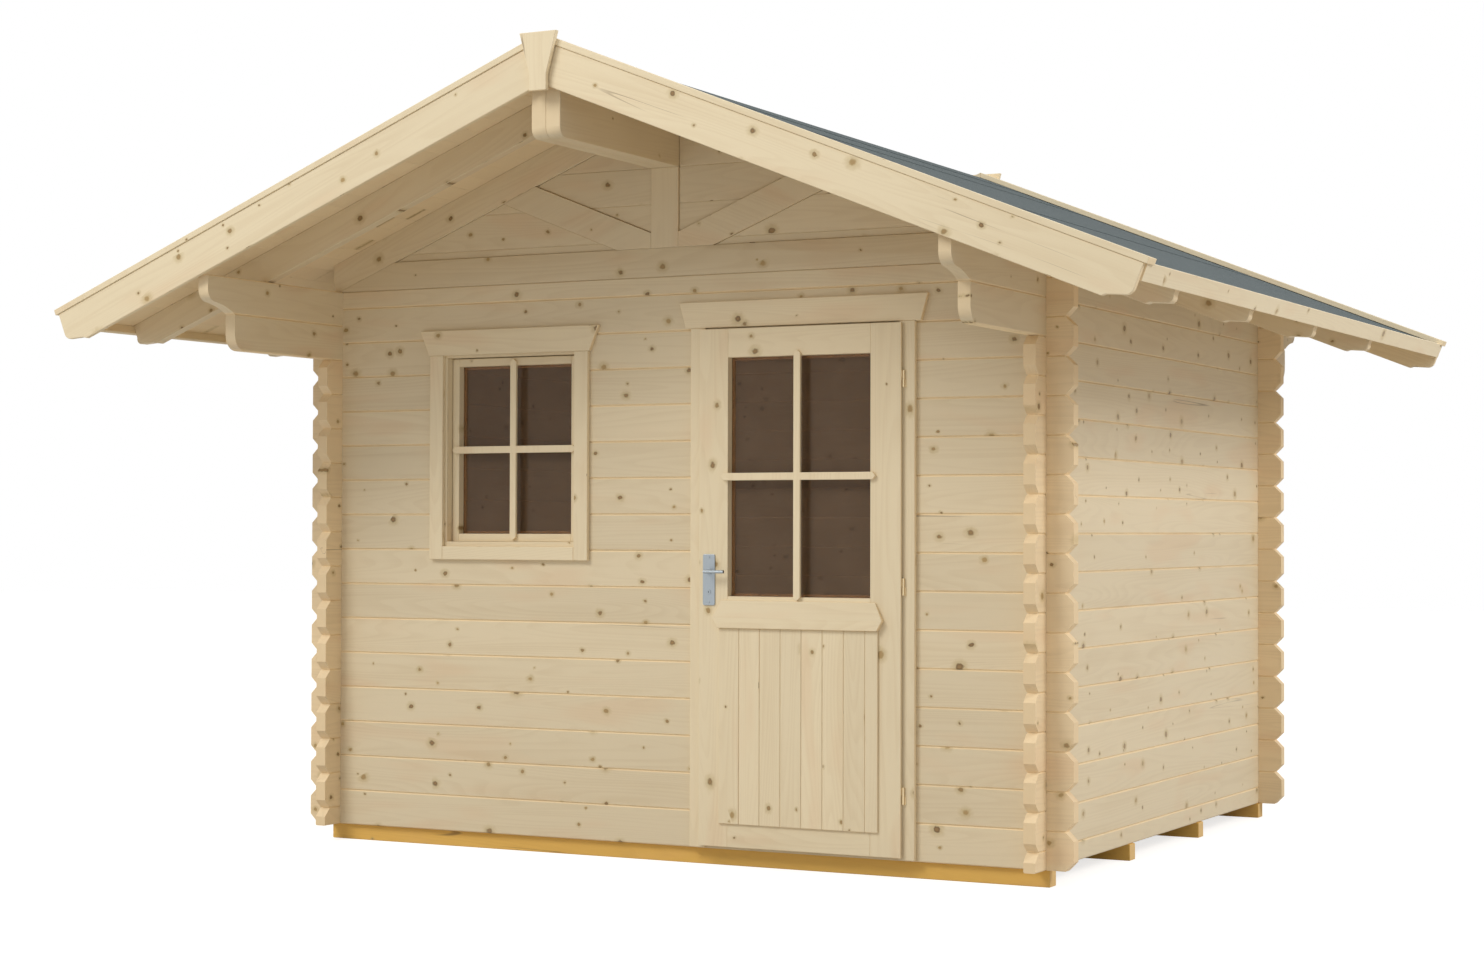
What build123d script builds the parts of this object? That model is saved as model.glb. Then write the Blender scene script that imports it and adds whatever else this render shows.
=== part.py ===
"""Guest cabin: walls of interlocking logs, a deep front overhang, one glazed door and one window.

Millimetres. The ground is z = 0, the door is in the front wall, which faces -Y, and the
origin is below the middle of the roof's plan. Heights of the walls, door and window are
given above the underside of the lowest log, which lies on the base beams.
"""

import os
from math import ceil, cos, radians, tan

from build123d import *

os.makedirs("parts", exist_ok=True)

# Logs and walls
log_height = 135.0
log_thickness = 44.0
full_courses = 15
outer_width = 3000.0
outer_depth = 2540.0
log_overrun = 100.0
log_bevel = 4.0
log_end_cut = 32.0
seat_gap = 0.3

# Base beams and floor
base_height = 60.0
base_width = 60.0
base_beam_count = 4
base_front_inset = 20.0
base_rear_inset = 4.0
base_end_reach = 6.0
floor_thickness = 19.0
floor_gap = 5.0

# Roof
roof_pitch = 21.8
front_overhang = 858.0
rear_overhang = 560.0
roof_half_width = 2144.0
rafter_depth = 108.0
rafter_thickness = 44.0
rafter_pair_count = 4
first_rafter_setback = 415.0
rafter_spacing = 811.0
roof_board_thickness = 19.0
felt_thickness = 4.0
eave_board_thickness = 18.0
eave_board_depth = 55.0
eave_board_stand = 4.0
eave_board_proud = 6.0
bargeboard_depth = 138.0
bargeboard_thickness = 20.0
tail_square_share = 0.57
tail_round_length = 17.0
tail_round_bulge = 3.8
tail_lift = 29.0
tail_flat_length = 65.0
tail_flat_rise = 5.0
tail_step_length = 15.0
cap_strip_thickness = 22.0
cap_strip_width = 70.0
cap_strip_lip = 4.0
cap_strip_end_reach = 12.0
finial_height = 200.0
finial_top_width = 147.0
finial_foot_width = 67.0
finial_taper_height = 145.0
finial_thickness = 18.0
finial_rise = 25.0

# Ridge purlin and the brackets that the top side logs make
purlin_board_thickness = 57.0
purlin_depth = 165.0
purlin_end_radius = 36.0
end_setback = 33.0
bracket_step = 157.0
bracket_round_height = 80.0
bracket_round_length = 45.0
bracket_slope_height = 36.0
lower_bracket_radius = 58.0

# Gable frames
frame_member_width = 107.0
strut_foot_x = 203.0
gable_board_thickness = 16.0
gable_board_recess = 8.0

# Door
door_centre_x = 570.0
door_leaf_width = 804.0
door_leaf_bottom = 13.0
door_leaf_top = 1888.0
door_lip_thickness = 11.0
door_body_thickness = 33.0
door_lip_overlap = 15.0
door_gap = 5.2
door_stile_width = 118.0
door_glass_bottom = 918.0
door_glass_top = 1783.0
door_panel_bottom = 97.0
door_panel_top = 803.0
door_panel_width = 634.0
door_panel_thickness = 8.0
door_panel_board_pitch = 83.5
drip_board_height = 100.0
drip_board_thickness = 20.0
drip_board_top_thickness = 8.0
drip_board_top_width = 614.0
drip_board_crease_width = 676.0
drip_board_crease_height = 37.0
frame_wall = 35.0
frame_depth = 60.0
settling_gap = 12.0
frame_fit_gap = 2.0
threshold_height = 28.0

# Window
window_centre_x = -673.0
window_opening_width = 590.0
window_opening_bottom = 1093.0
window_opening_top = 1827.0
window_frame_wall = 31.0
window_frame_depth = 84.0
window_frame_step = 9.0
window_sill_step = 18.0
window_sash_width = 30.0
window_sash_thickness = 44.0
window_sash_setback = 34.0
window_sash_gap = 3.0

# Casings, bars and glass
casing_thickness = 18.0
door_casing_reach = 46.0
window_casing_width = 60.0
window_foot_casing_height = 51.0
head_casing_height = 96.0
door_head_lap = 22.0
window_head_lap = 6.0
door_head_flare = 27.0
window_head_flare = 40.0
head_casing_gap = 6.0
bar_width = 27.0
bar_thickness = 12.0
bar_tip = 12.0
door_bar_side_lap = 25.0
door_bar_foot_lap = 13.0
door_bar_head_lap = 20.0
window_bar_lap = 25.0
glass_thickness = 4.0
glass_setback = 31.0
glass_gap = 0.3

# Handle and hinges
handle_plate_width = 49.0
handle_plate_height = 185.0
handle_plate_thickness = 4.0
handle_plate_margin = 18.5
handle_plate_drop = 30.0
lever_height = 1007.0
lever_length = 82.0
lever_radius = 6.0
lever_standoff = 34.0
spindle_radius = 7.0
spindle_gap = 0.1
spindle_hole_gap = 4.0
hinge_radius = 5.0
hinge_pin_radius = 2.5
hinge_height = 60.0
hinge_split_gap = 0.4
hinge_pin_gap = 0.08
hinge_flap_thickness = 1.5
hinge_flap_width = 9.5
hinge_heights = (230.0, 960.0, 1690.0)

# Levels and faces that several pieces share
half_width = outer_width / 2
front_y = -(outer_depth + rear_overhang - front_overhang) / 2
rear_y = front_y + outer_depth
roof_front_y = front_y - front_overhang
roof_rear_y = rear_y + rear_overhang
wall_foot = base_height
wall_top = wall_foot + (full_courses + 0.5) * log_height
slope = tan(radians(roof_pitch))
upright = 1 / cos(radians(roof_pitch))
roof_build_up = rafter_depth + roof_board_thickness + felt_thickness
ridge_z = wall_top + slope * (half_width - log_thickness / 2) + roof_build_up * upright
boards_front_y = roof_front_y + bargeboard_thickness + seat_gap
boards_rear_y = roof_rear_y - bargeboard_thickness - seat_gap


def finish(part, label):
    """Name a finished piece and write it as its own file."""
    part.label = label
    export_step(part, f"parts/{label}.step")


def roof_z(x, depth=0.0):
    """Height of the plane that lies `depth` below the top of the felt, square to the slope."""
    return ridge_z - slope * abs(x) - depth * upright


def eave_point(side, back, down):
    """Point on an end elevation: `back` up the slope from the eave, `down` square to it."""
    x = roof_half_width - (back + down * slope) / upright
    return side * x, roof_z(roof_half_width) + (back * slope - down) / upright


def elevation(y):
    """Plane seen from the front, with X to the right and Z up; it extrudes towards -Y."""
    return Plane.XZ.offset(-y)


def box_between(x, y, z, mode=Mode.ADD):
    """A box from three (low, high) pairs."""
    centre = [(low + high) / 2 for low, high in (x, y, z)]
    with Locations(tuple(centre)):
        Box(x[1] - x[0], y[1] - y[0], z[1] - z[0], mode=mode)


# Log walls. Each log is a solid of its own, and the logs of crossing walls are half a log
# apart in height, so each keeps the middle half of its height in the crossing.
front_bands = [(wall_foot + k * log_height, wall_foot + (k + 1) * log_height) for k in range(full_courses)]
front_bands.append((front_bands[-1][1], wall_top))
side_bands = [(wall_foot, wall_foot + log_height / 2)]
for k in range(full_courses):
    side_bands.append((side_bands[-1][1], side_bands[-1][1] + log_height))
front_joints = [bottom for bottom, top in front_bands]
side_joints = [top for bottom, top in side_bands]


def stack_logs(plane, across, bands, length):
    """Logs with bevelled long edges, extruded from their sections on the plane."""
    with BuildSketch(plane) as section:
        for bottom, top in bands:
            with Locations((across, (bottom + top + seat_gap) / 2)):
                Rectangle(log_thickness, top - bottom - seat_gap)
        chamfer(section.vertices(), log_bevel)
    extrude(section.sketch, amount=length)


def cut_crossings(plane, centres, joints):
    """Notches that leave the middle half of each log in the crossings."""
    with BuildSketch(plane) as notches:
        for centre in centres:
            for joint in joints:
                with Locations((centre, joint)):
                    Rectangle(log_thickness + 2 * seat_gap, log_height / 2 + seat_gap)
    extrude(notches.sketch, amount=log_thickness, both=True, mode=Mode.SUBTRACT)


def cut_log_ends(plane, end, joints):
    """Cut corners on the log ends: one diamond at each joint between two logs."""
    with BuildSketch(plane) as corners:
        for joint in joints:
            with Locations((end, joint)):
                RegularPolygon(log_end_cut, 4)
    extrude(corners.sketch, amount=log_thickness, both=True, mode=Mode.SUBTRACT)


# Openings in the front wall
door_left = door_centre_x - door_leaf_width / 2
door_right = door_centre_x + door_leaf_width / 2
clear_left = door_left + door_lip_overlap
clear_right = door_right - door_lip_overlap
clear_top = wall_foot + door_leaf_top - door_lip_overlap
rough_left = clear_left - frame_wall - frame_fit_gap
rough_right = clear_right + frame_wall + frame_fit_gap
rough_top = clear_top + frame_wall + settling_gap
window_left = window_centre_x - window_opening_width / 2
window_right = window_centre_x + window_opening_width / 2
window_bottom = wall_foot + window_opening_bottom
window_top = wall_foot + window_opening_top
frame_inner_x = (window_left + window_frame_step, window_right - window_frame_step)
frame_inner_z = (window_bottom + window_sill_step, window_top - window_frame_step)
frame_outer_x = (frame_inner_x[0] - window_frame_wall, frame_inner_x[1] + window_frame_wall)
frame_outer_z = (frame_inner_z[0] - window_frame_wall, frame_inner_z[1] + window_frame_wall)

log_end_x = half_width + log_overrun
crossing_x = half_width - log_thickness / 2
front_mid_y = front_y + log_thickness / 2
rear_mid_y = rear_y - log_thickness / 2
door_bands = [band for band in front_bands if band[0] < clear_top]
head_bands = [band for band in front_bands if band[0] >= clear_top]

with BuildPart() as front_wall_left:
    stack_logs(Plane.YZ.offset(-log_end_x), front_mid_y, door_bands, log_end_x + rough_left)
    cut_crossings(elevation(front_mid_y), [-crossing_x], front_joints)
    cut_log_ends(elevation(front_mid_y), -log_end_x, front_joints)
    box_between(
        (frame_outer_x[0] - frame_fit_gap, frame_outer_x[1] + frame_fit_gap),
        (front_y - log_thickness, front_y + 2 * log_thickness),
        (frame_outer_z[0], frame_outer_z[1] + settling_gap),
        mode=Mode.SUBTRACT,
    )
finish(front_wall_left.part, "front_wall_left")

with BuildPart() as front_wall_right:
    stack_logs(Plane.YZ.offset(rough_right), front_mid_y, door_bands, log_end_x - rough_right)
    cut_crossings(elevation(front_mid_y), [crossing_x], front_joints)
    cut_log_ends(elevation(front_mid_y), log_end_x, front_joints)
finish(front_wall_right.part, "front_wall_right")

with BuildPart() as front_wall_over_door:
    stack_logs(Plane.YZ.offset(-log_end_x), front_mid_y, head_bands, 2 * log_end_x)
    cut_crossings(elevation(front_mid_y), [-crossing_x, crossing_x], front_joints)
    cut_log_ends(elevation(front_mid_y), log_end_x, front_joints + [wall_top])
    cut_log_ends(elevation(front_mid_y), -log_end_x, front_joints + [wall_top])
    box_between(
        (rough_left, rough_right),
        (front_y - log_thickness, front_y + 2 * log_thickness),
        (wall_foot, rough_top),
        mode=Mode.SUBTRACT,
    )
finish(front_wall_over_door.part, "front_wall_over_door")

with BuildPart() as rear_wall:
    stack_logs(Plane.YZ.offset(-log_end_x), rear_mid_y, front_bands, 2 * log_end_x)
    cut_crossings(elevation(rear_mid_y), [-crossing_x, crossing_x], front_joints)
    cut_log_ends(elevation(rear_mid_y), log_end_x, front_joints + [wall_top])
    cut_log_ends(elevation(rear_mid_y), -log_end_x, front_joints + [wall_top])
finish(rear_wall.part, "rear_wall")

# The two top logs of each side wall run on as stepped brackets under the overhangs
plain_bands = side_bands[:-2]
lower_band, upper_band = side_bands[-2:]
bracket_front_y = roof_front_y + end_setback
bracket_rear_y = roof_rear_y - end_setback


def cut_upper_bracket(plane, end, inward):
    """A quarter round and a falling slope under the end of the top log."""
    foot = upper_band[0]
    nose = end + inward * bracket_round_length
    heel = end + inward * bracket_step
    bulge = bracket_round_length * 0.3
    with BuildSketch(plane) as waste:
        with BuildLine():
            ThreePointArc(
                (end, foot + bracket_round_height),
                (end + inward * bulge, foot + bracket_slope_height + bulge),
                (nose, foot + bracket_slope_height),
            )
            ThreePointArc(
                (nose, foot + bracket_slope_height),
                ((nose + heel) / 2, foot + bracket_slope_height * 0.65),
                (heel, foot),
            )
            Polyline(
                (heel, foot),
                (heel, foot - 1),
                (end - inward, foot - 1),
                (end - inward, foot + bracket_round_height),
                (end, foot + bracket_round_height),
            )
        make_face()
    extrude(waste.sketch, amount=log_thickness, both=True, mode=Mode.SUBTRACT)


def cut_lower_bracket(plane, end, inward):
    """A quarter round under the end of the second log."""
    foot = lower_band[0]
    with BuildSketch(plane) as waste:
        with BuildLine():
            RadiusArc(
                (end, foot + lower_bracket_radius),
                (end + inward * lower_bracket_radius, foot),
                -inward * lower_bracket_radius,
            )
            Polyline(
                (end + inward * lower_bracket_radius, foot),
                (end + inward * lower_bracket_radius, foot - 1),
                (end - inward, foot - 1),
                (end - inward, foot + lower_bracket_radius),
                (end, foot + lower_bracket_radius),
            )
        make_face()
    extrude(waste.sketch, amount=log_thickness, both=True, mode=Mode.SUBTRACT)


def side_wall(centre_x):
    """One side wall, the same at both ends but for the overhangs' depths."""
    plane = Plane.YZ.offset(centre_x)
    first_y = front_y - log_overrun
    last_y = rear_y + log_overrun
    lower_first_y = bracket_front_y + bracket_step
    lower_last_y = bracket_rear_y - bracket_step
    with BuildPart() as wall:
        stack_logs(elevation(last_y), centre_x, plain_bands, last_y - first_y)
        cut_log_ends(plane, first_y, side_joints[:-2])
        cut_log_ends(plane, last_y, side_joints[:-2])
        stack_logs(elevation(lower_last_y), centre_x, [lower_band], lower_last_y - lower_first_y)
        stack_logs(elevation(bracket_rear_y), centre_x, [upper_band], bracket_rear_y - bracket_front_y)
        cut_crossings(plane, [front_mid_y, rear_mid_y], side_joints)
        cut_upper_bracket(plane, bracket_front_y, 1)
        cut_upper_bracket(plane, bracket_rear_y, -1)
        cut_lower_bracket(plane, lower_first_y, 1)
        cut_lower_bracket(plane, lower_last_y, -1)
    return wall.part


finish(side_wall(-crossing_x), "left_wall")
finish(side_wall(crossing_x), "right_wall")

# Base beams, evenly spaced between the front and rear walls, and the floor on them
first_beam_y = front_y + base_front_inset + base_width / 2
last_beam_y = rear_y - base_rear_inset - base_width / 2
beam_pitch = (last_beam_y - first_beam_y) / (base_beam_count - 1)

with BuildPart() as base_beams:
    for k in range(base_beam_count):
        with Locations((0, first_beam_y + k * beam_pitch, base_height / 2)):
            Box(outer_width + 2 * base_end_reach, base_width, base_height)
finish(base_beams.part, "base_beams")

floor_half_width = half_width - log_thickness - floor_gap
floor_front_y = front_y + frame_depth + floor_gap
floor_rear_y = rear_y - log_thickness - floor_gap

with BuildPart() as floor:
    box_between(
        (-floor_half_width, floor_half_width),
        (floor_front_y, floor_rear_y),
        (wall_foot + seat_gap, wall_foot + floor_thickness),
    )
finish(floor.part, "floor")

# Ridge purlin: two boards side by side, tops bevelled to the roof
boards_under = felt_thickness + roof_board_thickness
rafters_under = boards_under + rafter_depth
purlin_half_width = purlin_board_thickness + seat_gap / 2
purlin_foot = roof_z(purlin_half_width, rafters_under) - purlin_depth
purlin_front_y = roof_front_y + end_setback
purlin_rear_y = roof_rear_y - end_setback

with BuildPart() as ridge_purlin:
    for side in (-1, 1):
        inner = side * seat_gap / 2
        outer = side * purlin_half_width
        with BuildSketch(elevation(purlin_rear_y)):
            with BuildLine():
                Polyline(
                    (inner, purlin_foot),
                    (outer, purlin_foot),
                    (outer, roof_z(outer, rafters_under + seat_gap)),
                    (inner, roof_z(inner, rafters_under + seat_gap)),
                    close=True,
                )
            make_face()
        extrude(amount=purlin_rear_y - purlin_front_y)
    for end, inward in ((purlin_front_y, 1), (purlin_rear_y, -1)):
        with BuildSketch(Plane.YZ):
            with BuildLine():
                RadiusArc(
                    (end, purlin_foot + purlin_end_radius),
                    (end + inward * purlin_end_radius, purlin_foot),
                    -inward * purlin_end_radius,
                )
                Polyline(
                    (end + inward * purlin_end_radius, purlin_foot),
                    (end + inward * purlin_end_radius, purlin_foot - 1),
                    (end - inward, purlin_foot - 1),
                    (end - inward, purlin_foot + purlin_end_radius),
                    (end, purlin_foot + purlin_end_radius),
                )
            make_face()
        extrude(amount=purlin_board_thickness * 2, both=True, mode=Mode.SUBTRACT)
finish(ridge_purlin.part, "ridge_purlin")


def sloping_board(side, y_back, thickness, upper, lower, end_setback=0.0):
    """A board between two depths below the felt: plumb at the ridge, with the kit's shaped tail."""
    ridge_x = side * seat_gap / 2
    round_start = eave_point(side, end_setback, lower * tail_square_share)
    flat_end = eave_point(side, max(end_setback, tail_round_length), lower - tail_lift)
    round_middle = (
        (round_start[0] + flat_end[0]) / 2 + side * tail_round_bulge,
        (round_start[1] + flat_end[1]) / 2 - tail_round_bulge,
    )
    flat_start = (flat_end[0] - side * tail_flat_length, flat_end[1] + tail_flat_rise)
    step_x = flat_start[0] - side * tail_step_length
    with BuildSketch(elevation(y_back)) as board:
        with BuildLine():
            Polyline(
                flat_end,
                flat_start,
                (step_x, roof_z(step_x, lower)),
                (ridge_x, roof_z(ridge_x, lower)),
                (ridge_x, roof_z(ridge_x, upper)),
                eave_point(side, end_setback, upper),
                round_start,
            )
            ThreePointArc(round_start, round_middle, flat_end)
        make_face()
    extrude(board.sketch, amount=thickness)


# Rafter pairs on the side walls and the purlin, with a seat cut over the wall
rafter_end_setback = eave_board_thickness - eave_board_proud + seat_gap

with BuildPart() as rafters:
    for k in range(rafter_pair_count):
        rafter_back_y = front_y - first_rafter_setback + k * rafter_spacing
        for side in (-1, 1):
            sloping_board(
                side, rafter_back_y, rafter_thickness, boards_under + seat_gap, rafters_under,
                rafter_end_setback,
            )
    for side in (-1, 1):
        box_between(
            tuple(sorted((side * (half_width + seat_gap), side * (half_width - 2 * log_thickness)))),
            (roof_front_y, roof_rear_y),
            (wall_top - log_height, wall_top + seat_gap),
            mode=Mode.SUBTRACT,
        )
finish(rafters.part, "rafters")

# Gable frames: rafters, tie, king post and two struts in one plane over each end wall
tie_top = wall_top + frame_member_width
post_x = purlin_half_width + seat_gap
strut_width = frame_member_width * upright


def strut_lower_z(x):
    return tie_top + slope * (abs(x) - strut_foot_x)


def meeting_x(strut_offset):
    """Where a strut's edge meets the underside of the rafter."""
    under_ridge = roof_z(0, rafters_under)
    return (under_ridge - tie_top - strut_offset + slope * strut_foot_x) / (2 * slope)


tie_rafter_x = (roof_z(0, rafters_under) - tie_top) / slope
strut_low_x = meeting_x(0)
strut_high_x = meeting_x(strut_width)


def gable_bays():
    """The open bays of a gable frame, two on each side of the king post."""
    outer_bay = (
        (tie_rafter_x, tie_top),
        (strut_foot_x, tie_top),
        (strut_low_x, roof_z(strut_low_x, rafters_under)),
    )
    inner_bay = (
        (strut_high_x, roof_z(strut_high_x, rafters_under)),
        (post_x, strut_lower_z(post_x) + strut_width),
        (post_x, roof_z(post_x, rafters_under)),
    )
    with BuildSketch() as bays:
        for side in (-1, 1):
            for corners in (outer_bay, inner_bay):
                with BuildLine():
                    Polyline(*[(side * x, z) for x, z in corners], close=True)
                make_face()
    return bays.sketch


def gable_frame(y_back):
    """Two rafters, a tie, a king post and two struts, with a fine joint where they meet."""
    under_ridge = roof_z(0, rafters_under)
    strut_top = strut_lower_z(post_x) + strut_width
    with BuildPart() as frame:
        with BuildSketch(elevation(y_back)):
            with BuildLine():
                Polyline(
                    (-half_width, wall_top + seat_gap),
                    (half_width, wall_top + seat_gap),
                    (half_width, roof_z(half_width, boards_under + seat_gap)),
                    (0, roof_z(0, boards_under + seat_gap)),
                    (-half_width, roof_z(half_width, boards_under + seat_gap)),
                    close=True,
                )
            make_face()
            add(gable_bays(), mode=Mode.SUBTRACT)
            with BuildLine():
                Polyline(
                    (-post_x, purlin_foot - seat_gap),
                    (post_x, purlin_foot - seat_gap),
                    (post_x, roof_z(post_x, rafters_under)),
                    (0, roof_z(0, rafters_under)),
                    (-post_x, roof_z(post_x, rafters_under)),
                    close=True,
                )
            make_face(mode=Mode.SUBTRACT)
            with Locations((0, tie_top - seat_gap / 2)):
                Rectangle(2 * tie_rafter_x, seat_gap, mode=Mode.SUBTRACT)
            with Locations((0, under_ridge)):
                Rectangle(seat_gap, 2 * rafter_depth * upright, mode=Mode.SUBTRACT)
            for side in (-1, 1):
                with BuildLine():
                    Polyline(
                        (side * post_x, roof_z(post_x, rafters_under)),
                        (side * half_width, roof_z(half_width, rafters_under)),
                        (side * half_width, roof_z(half_width, rafters_under + seat_gap)),
                        (side * post_x, roof_z(post_x, rafters_under + seat_gap)),
                        close=True,
                    )
                make_face(mode=Mode.SUBTRACT)
                with Locations((side * (post_x + seat_gap / 2), (tie_top + strut_top) / 2)):
                    Rectangle(seat_gap, strut_top - tie_top + 2, mode=Mode.SUBTRACT)
        extrude(amount=log_thickness)
    return frame.part


def gable_boards(y_back):
    """Boarding that fills the bays of a gable frame."""
    with BuildPart() as boards:
        with BuildSketch(elevation(y_back)):
            for bay in gable_bays().faces():
                offset(bay, amount=-seat_gap, kind=Kind.INTERSECTION, mode=Mode.ADD)
        extrude(amount=gable_board_thickness)
    return boards.part


finish(gable_frame(front_y + log_thickness), "front_gable_frame")
finish(gable_frame(rear_y), "rear_gable_frame")
finish(gable_boards(front_y + gable_board_recess + gable_board_thickness), "front_gable_boards")
finish(gable_boards(rear_y - gable_board_recess), "rear_gable_boards")


# Roof covering: boards, felt and the boards along the eaves
def roof_layer(side, upper, lower):
    """A sheet on one slope, between the two pairs of bargeboards and up to the eave board."""
    with BuildPart() as layer:
        with BuildSketch(elevation(boards_rear_y)):
            with BuildLine():
                Polyline(
                    (side * seat_gap / 2, roof_z(0, upper)),
                    eave_point(side, rafter_end_setback, upper),
                    eave_point(side, rafter_end_setback, lower),
                    (side * seat_gap / 2, roof_z(0, lower)),
                    close=True,
                )
            make_face()
        extrude(amount=boards_rear_y - boards_front_y)
    return layer.part


for side, name in ((-1, "left"), (1, "right")):
    finish(roof_layer(side, 0.0, felt_thickness - seat_gap), f"roof_felt_{name}")
    finish(roof_layer(side, felt_thickness, boards_under), f"roof_boards_{name}")

# The eave boards stand above the felt, but not where the cap strips cross them
cap_strip_ends = (roof_front_y - cap_strip_lip, roof_rear_y + cap_strip_lip)
cap_strip_inner = (cap_strip_ends[0] + cap_strip_width, cap_strip_ends[1] - cap_strip_width)


def eave_board(side, y_back, length, stand):
    with BuildSketch(elevation(y_back)) as section:
        with BuildLine():
            Polyline(
                eave_point(side, -eave_board_proud, -stand),
                eave_point(side, -eave_board_proud, eave_board_depth),
                eave_point(side, eave_board_thickness - eave_board_proud, eave_board_depth),
                eave_point(side, eave_board_thickness - eave_board_proud, -stand),
                close=True,
            )
        make_face()
    extrude(section.sketch, amount=length)


with BuildPart() as eave_boards:
    for side in (-1, 1):
        eave_board(side, boards_rear_y, boards_rear_y - boards_front_y, 0.0)
        stand_back = cap_strip_inner[1] - seat_gap
        eave_board(side, stand_back, stand_back - cap_strip_inner[0] - seat_gap, eave_board_stand)
finish(eave_boards.part, "eave_boards")

# Bargeboards, the cap strips on them and the finials over their joints
for y_back, name in ((roof_front_y + bargeboard_thickness, "front"), (roof_rear_y, "rear")):
    with BuildPart() as bargeboards:
        for side in (-1, 1):
            sloping_board(side, y_back, bargeboard_thickness, 0.0, bargeboard_depth)
    finish(bargeboards.part, f"{name}_bargeboards")

for y_back, name in ((cap_strip_inner[0], "front"), (cap_strip_ends[1], "rear")):
    with BuildPart() as cap_strips:
        for side in (-1, 1):
            with BuildSketch(elevation(y_back)):
                with BuildLine():
                    Polyline(
                        (side * seat_gap / 2, roof_z(0, -seat_gap)),
                        eave_point(side, -cap_strip_end_reach, -seat_gap),
                        eave_point(side, -cap_strip_end_reach, -cap_strip_thickness),
                        (side * seat_gap / 2, roof_z(0, -cap_strip_thickness)),
                        close=True,
                    )
                make_face()
            extrude(amount=cap_strip_width)
    finish(cap_strips.part, f"{name}_cap_strips")

finial_top = ridge_z + finial_rise
finial_waist = finial_top - finial_taper_height
finial_foot = finial_top - finial_height
finial_backs = (cap_strip_ends[0], cap_strip_ends[1] + finial_thickness)
with BuildPart() as finials:
    for y_back in finial_backs:
        with BuildSketch(elevation(y_back)):
            with BuildLine():
                Polyline(
                    (-finial_top_width / 2, finial_top),
                    (-finial_foot_width / 2, finial_waist),
                    (-finial_foot_width / 2, finial_foot),
                    (finial_foot_width / 2, finial_foot),
                    (finial_foot_width / 2, finial_waist),
                    (finial_top_width / 2, finial_top),
                    close=True,
                )
            make_face()
        extrude(amount=finial_thickness)
finish(finials.part, "finials")

# Door frame, with a threshold, and its casings
with BuildPart() as door_frame:
    frame_left = clear_left - frame_wall
    frame_right = clear_right + frame_wall
    box_between(
        (frame_left, frame_right),
        (front_y, front_y + frame_depth),
        (wall_foot + seat_gap, clear_top + frame_wall),
    )
    box_between(
        (clear_left, clear_right),
        (front_y - 1, front_y + frame_depth + 1),
        (wall_foot + threshold_height, clear_top),
        mode=Mode.SUBTRACT,
    )
finish(door_frame.part, "door_frame")

casing_foot = wall_foot + 4.0
casing_back_y = front_y - seat_gap
casing_front_y = casing_back_y - casing_thickness
door_casing_left = door_left - door_casing_reach
door_casing_right = door_right + door_casing_reach
head_casing_foot = wall_foot + door_leaf_top + head_casing_gap

with BuildPart() as door_casings:
    for x in ((door_casing_left, clear_left), (clear_right, door_casing_right)):
        box_between(x, (casing_front_y, casing_back_y), (casing_foot, head_casing_foot - seat_gap))
finish(door_casings.part, "door_casings")


def head_casing(centre_x, foot_width, foot_z, flare):
    """A casing board that flares towards its top."""
    with BuildPart() as board:
        with BuildSketch(elevation(casing_back_y)):
            with BuildLine():
                Polyline(
                    (centre_x - foot_width / 2, foot_z),
                    (centre_x + foot_width / 2, foot_z),
                    (centre_x + foot_width / 2 + flare, foot_z + head_casing_height),
                    (centre_x - foot_width / 2 - flare, foot_z + head_casing_height),
                    close=True,
                )
            make_face()
        extrude(amount=casing_thickness)
    return board.part


door_head_width = door_leaf_width + 2 * (door_casing_reach + door_head_lap)
door_head = head_casing(door_centre_x, door_head_width, head_casing_foot, door_head_flare)
finish(door_head, "door_head_casing")

# Window frame, sash, glass, bars and casings
with BuildPart() as window_frame:
    box_between(
        frame_outer_x,
        (front_y, front_y + window_frame_depth),
        (frame_outer_z[0] + seat_gap, frame_outer_z[1]),
    )
    box_between(
        frame_inner_x,
        (front_y - 1, front_y + window_frame_depth + 1),
        frame_inner_z,
        mode=Mode.SUBTRACT,
    )
finish(window_frame.part, "window_frame")

sash_front_y = front_y + window_sash_setback
sash_x = (frame_inner_x[0] + window_sash_gap, frame_inner_x[1] - window_sash_gap)
sash_z = (frame_inner_z[0] + seat_gap, frame_inner_z[1] - window_sash_gap)
pane_x = (sash_x[0] + window_sash_width, sash_x[1] - window_sash_width)
pane_z = (sash_z[0] + window_sash_width, sash_z[1] - window_sash_width)

with BuildPart() as window_sash:
    sash_back_y = sash_front_y + window_sash_thickness
    box_between(sash_x, (sash_front_y, sash_back_y), sash_z)
    box_between(pane_x, (sash_front_y - 1, sash_back_y + 1), pane_z, mode=Mode.SUBTRACT)
finish(window_sash.part, "window_sash")


def pane(x, y_front, z):
    """A sheet of glass that fills an opening but for a small gap."""
    with BuildPart() as sheet:
        box_between(
            (x[0] + glass_gap, x[1] - glass_gap),
            (y_front, y_front + glass_thickness),
            (z[0] + glass_gap, z[1] - glass_gap),
        )
    return sheet.part


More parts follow.
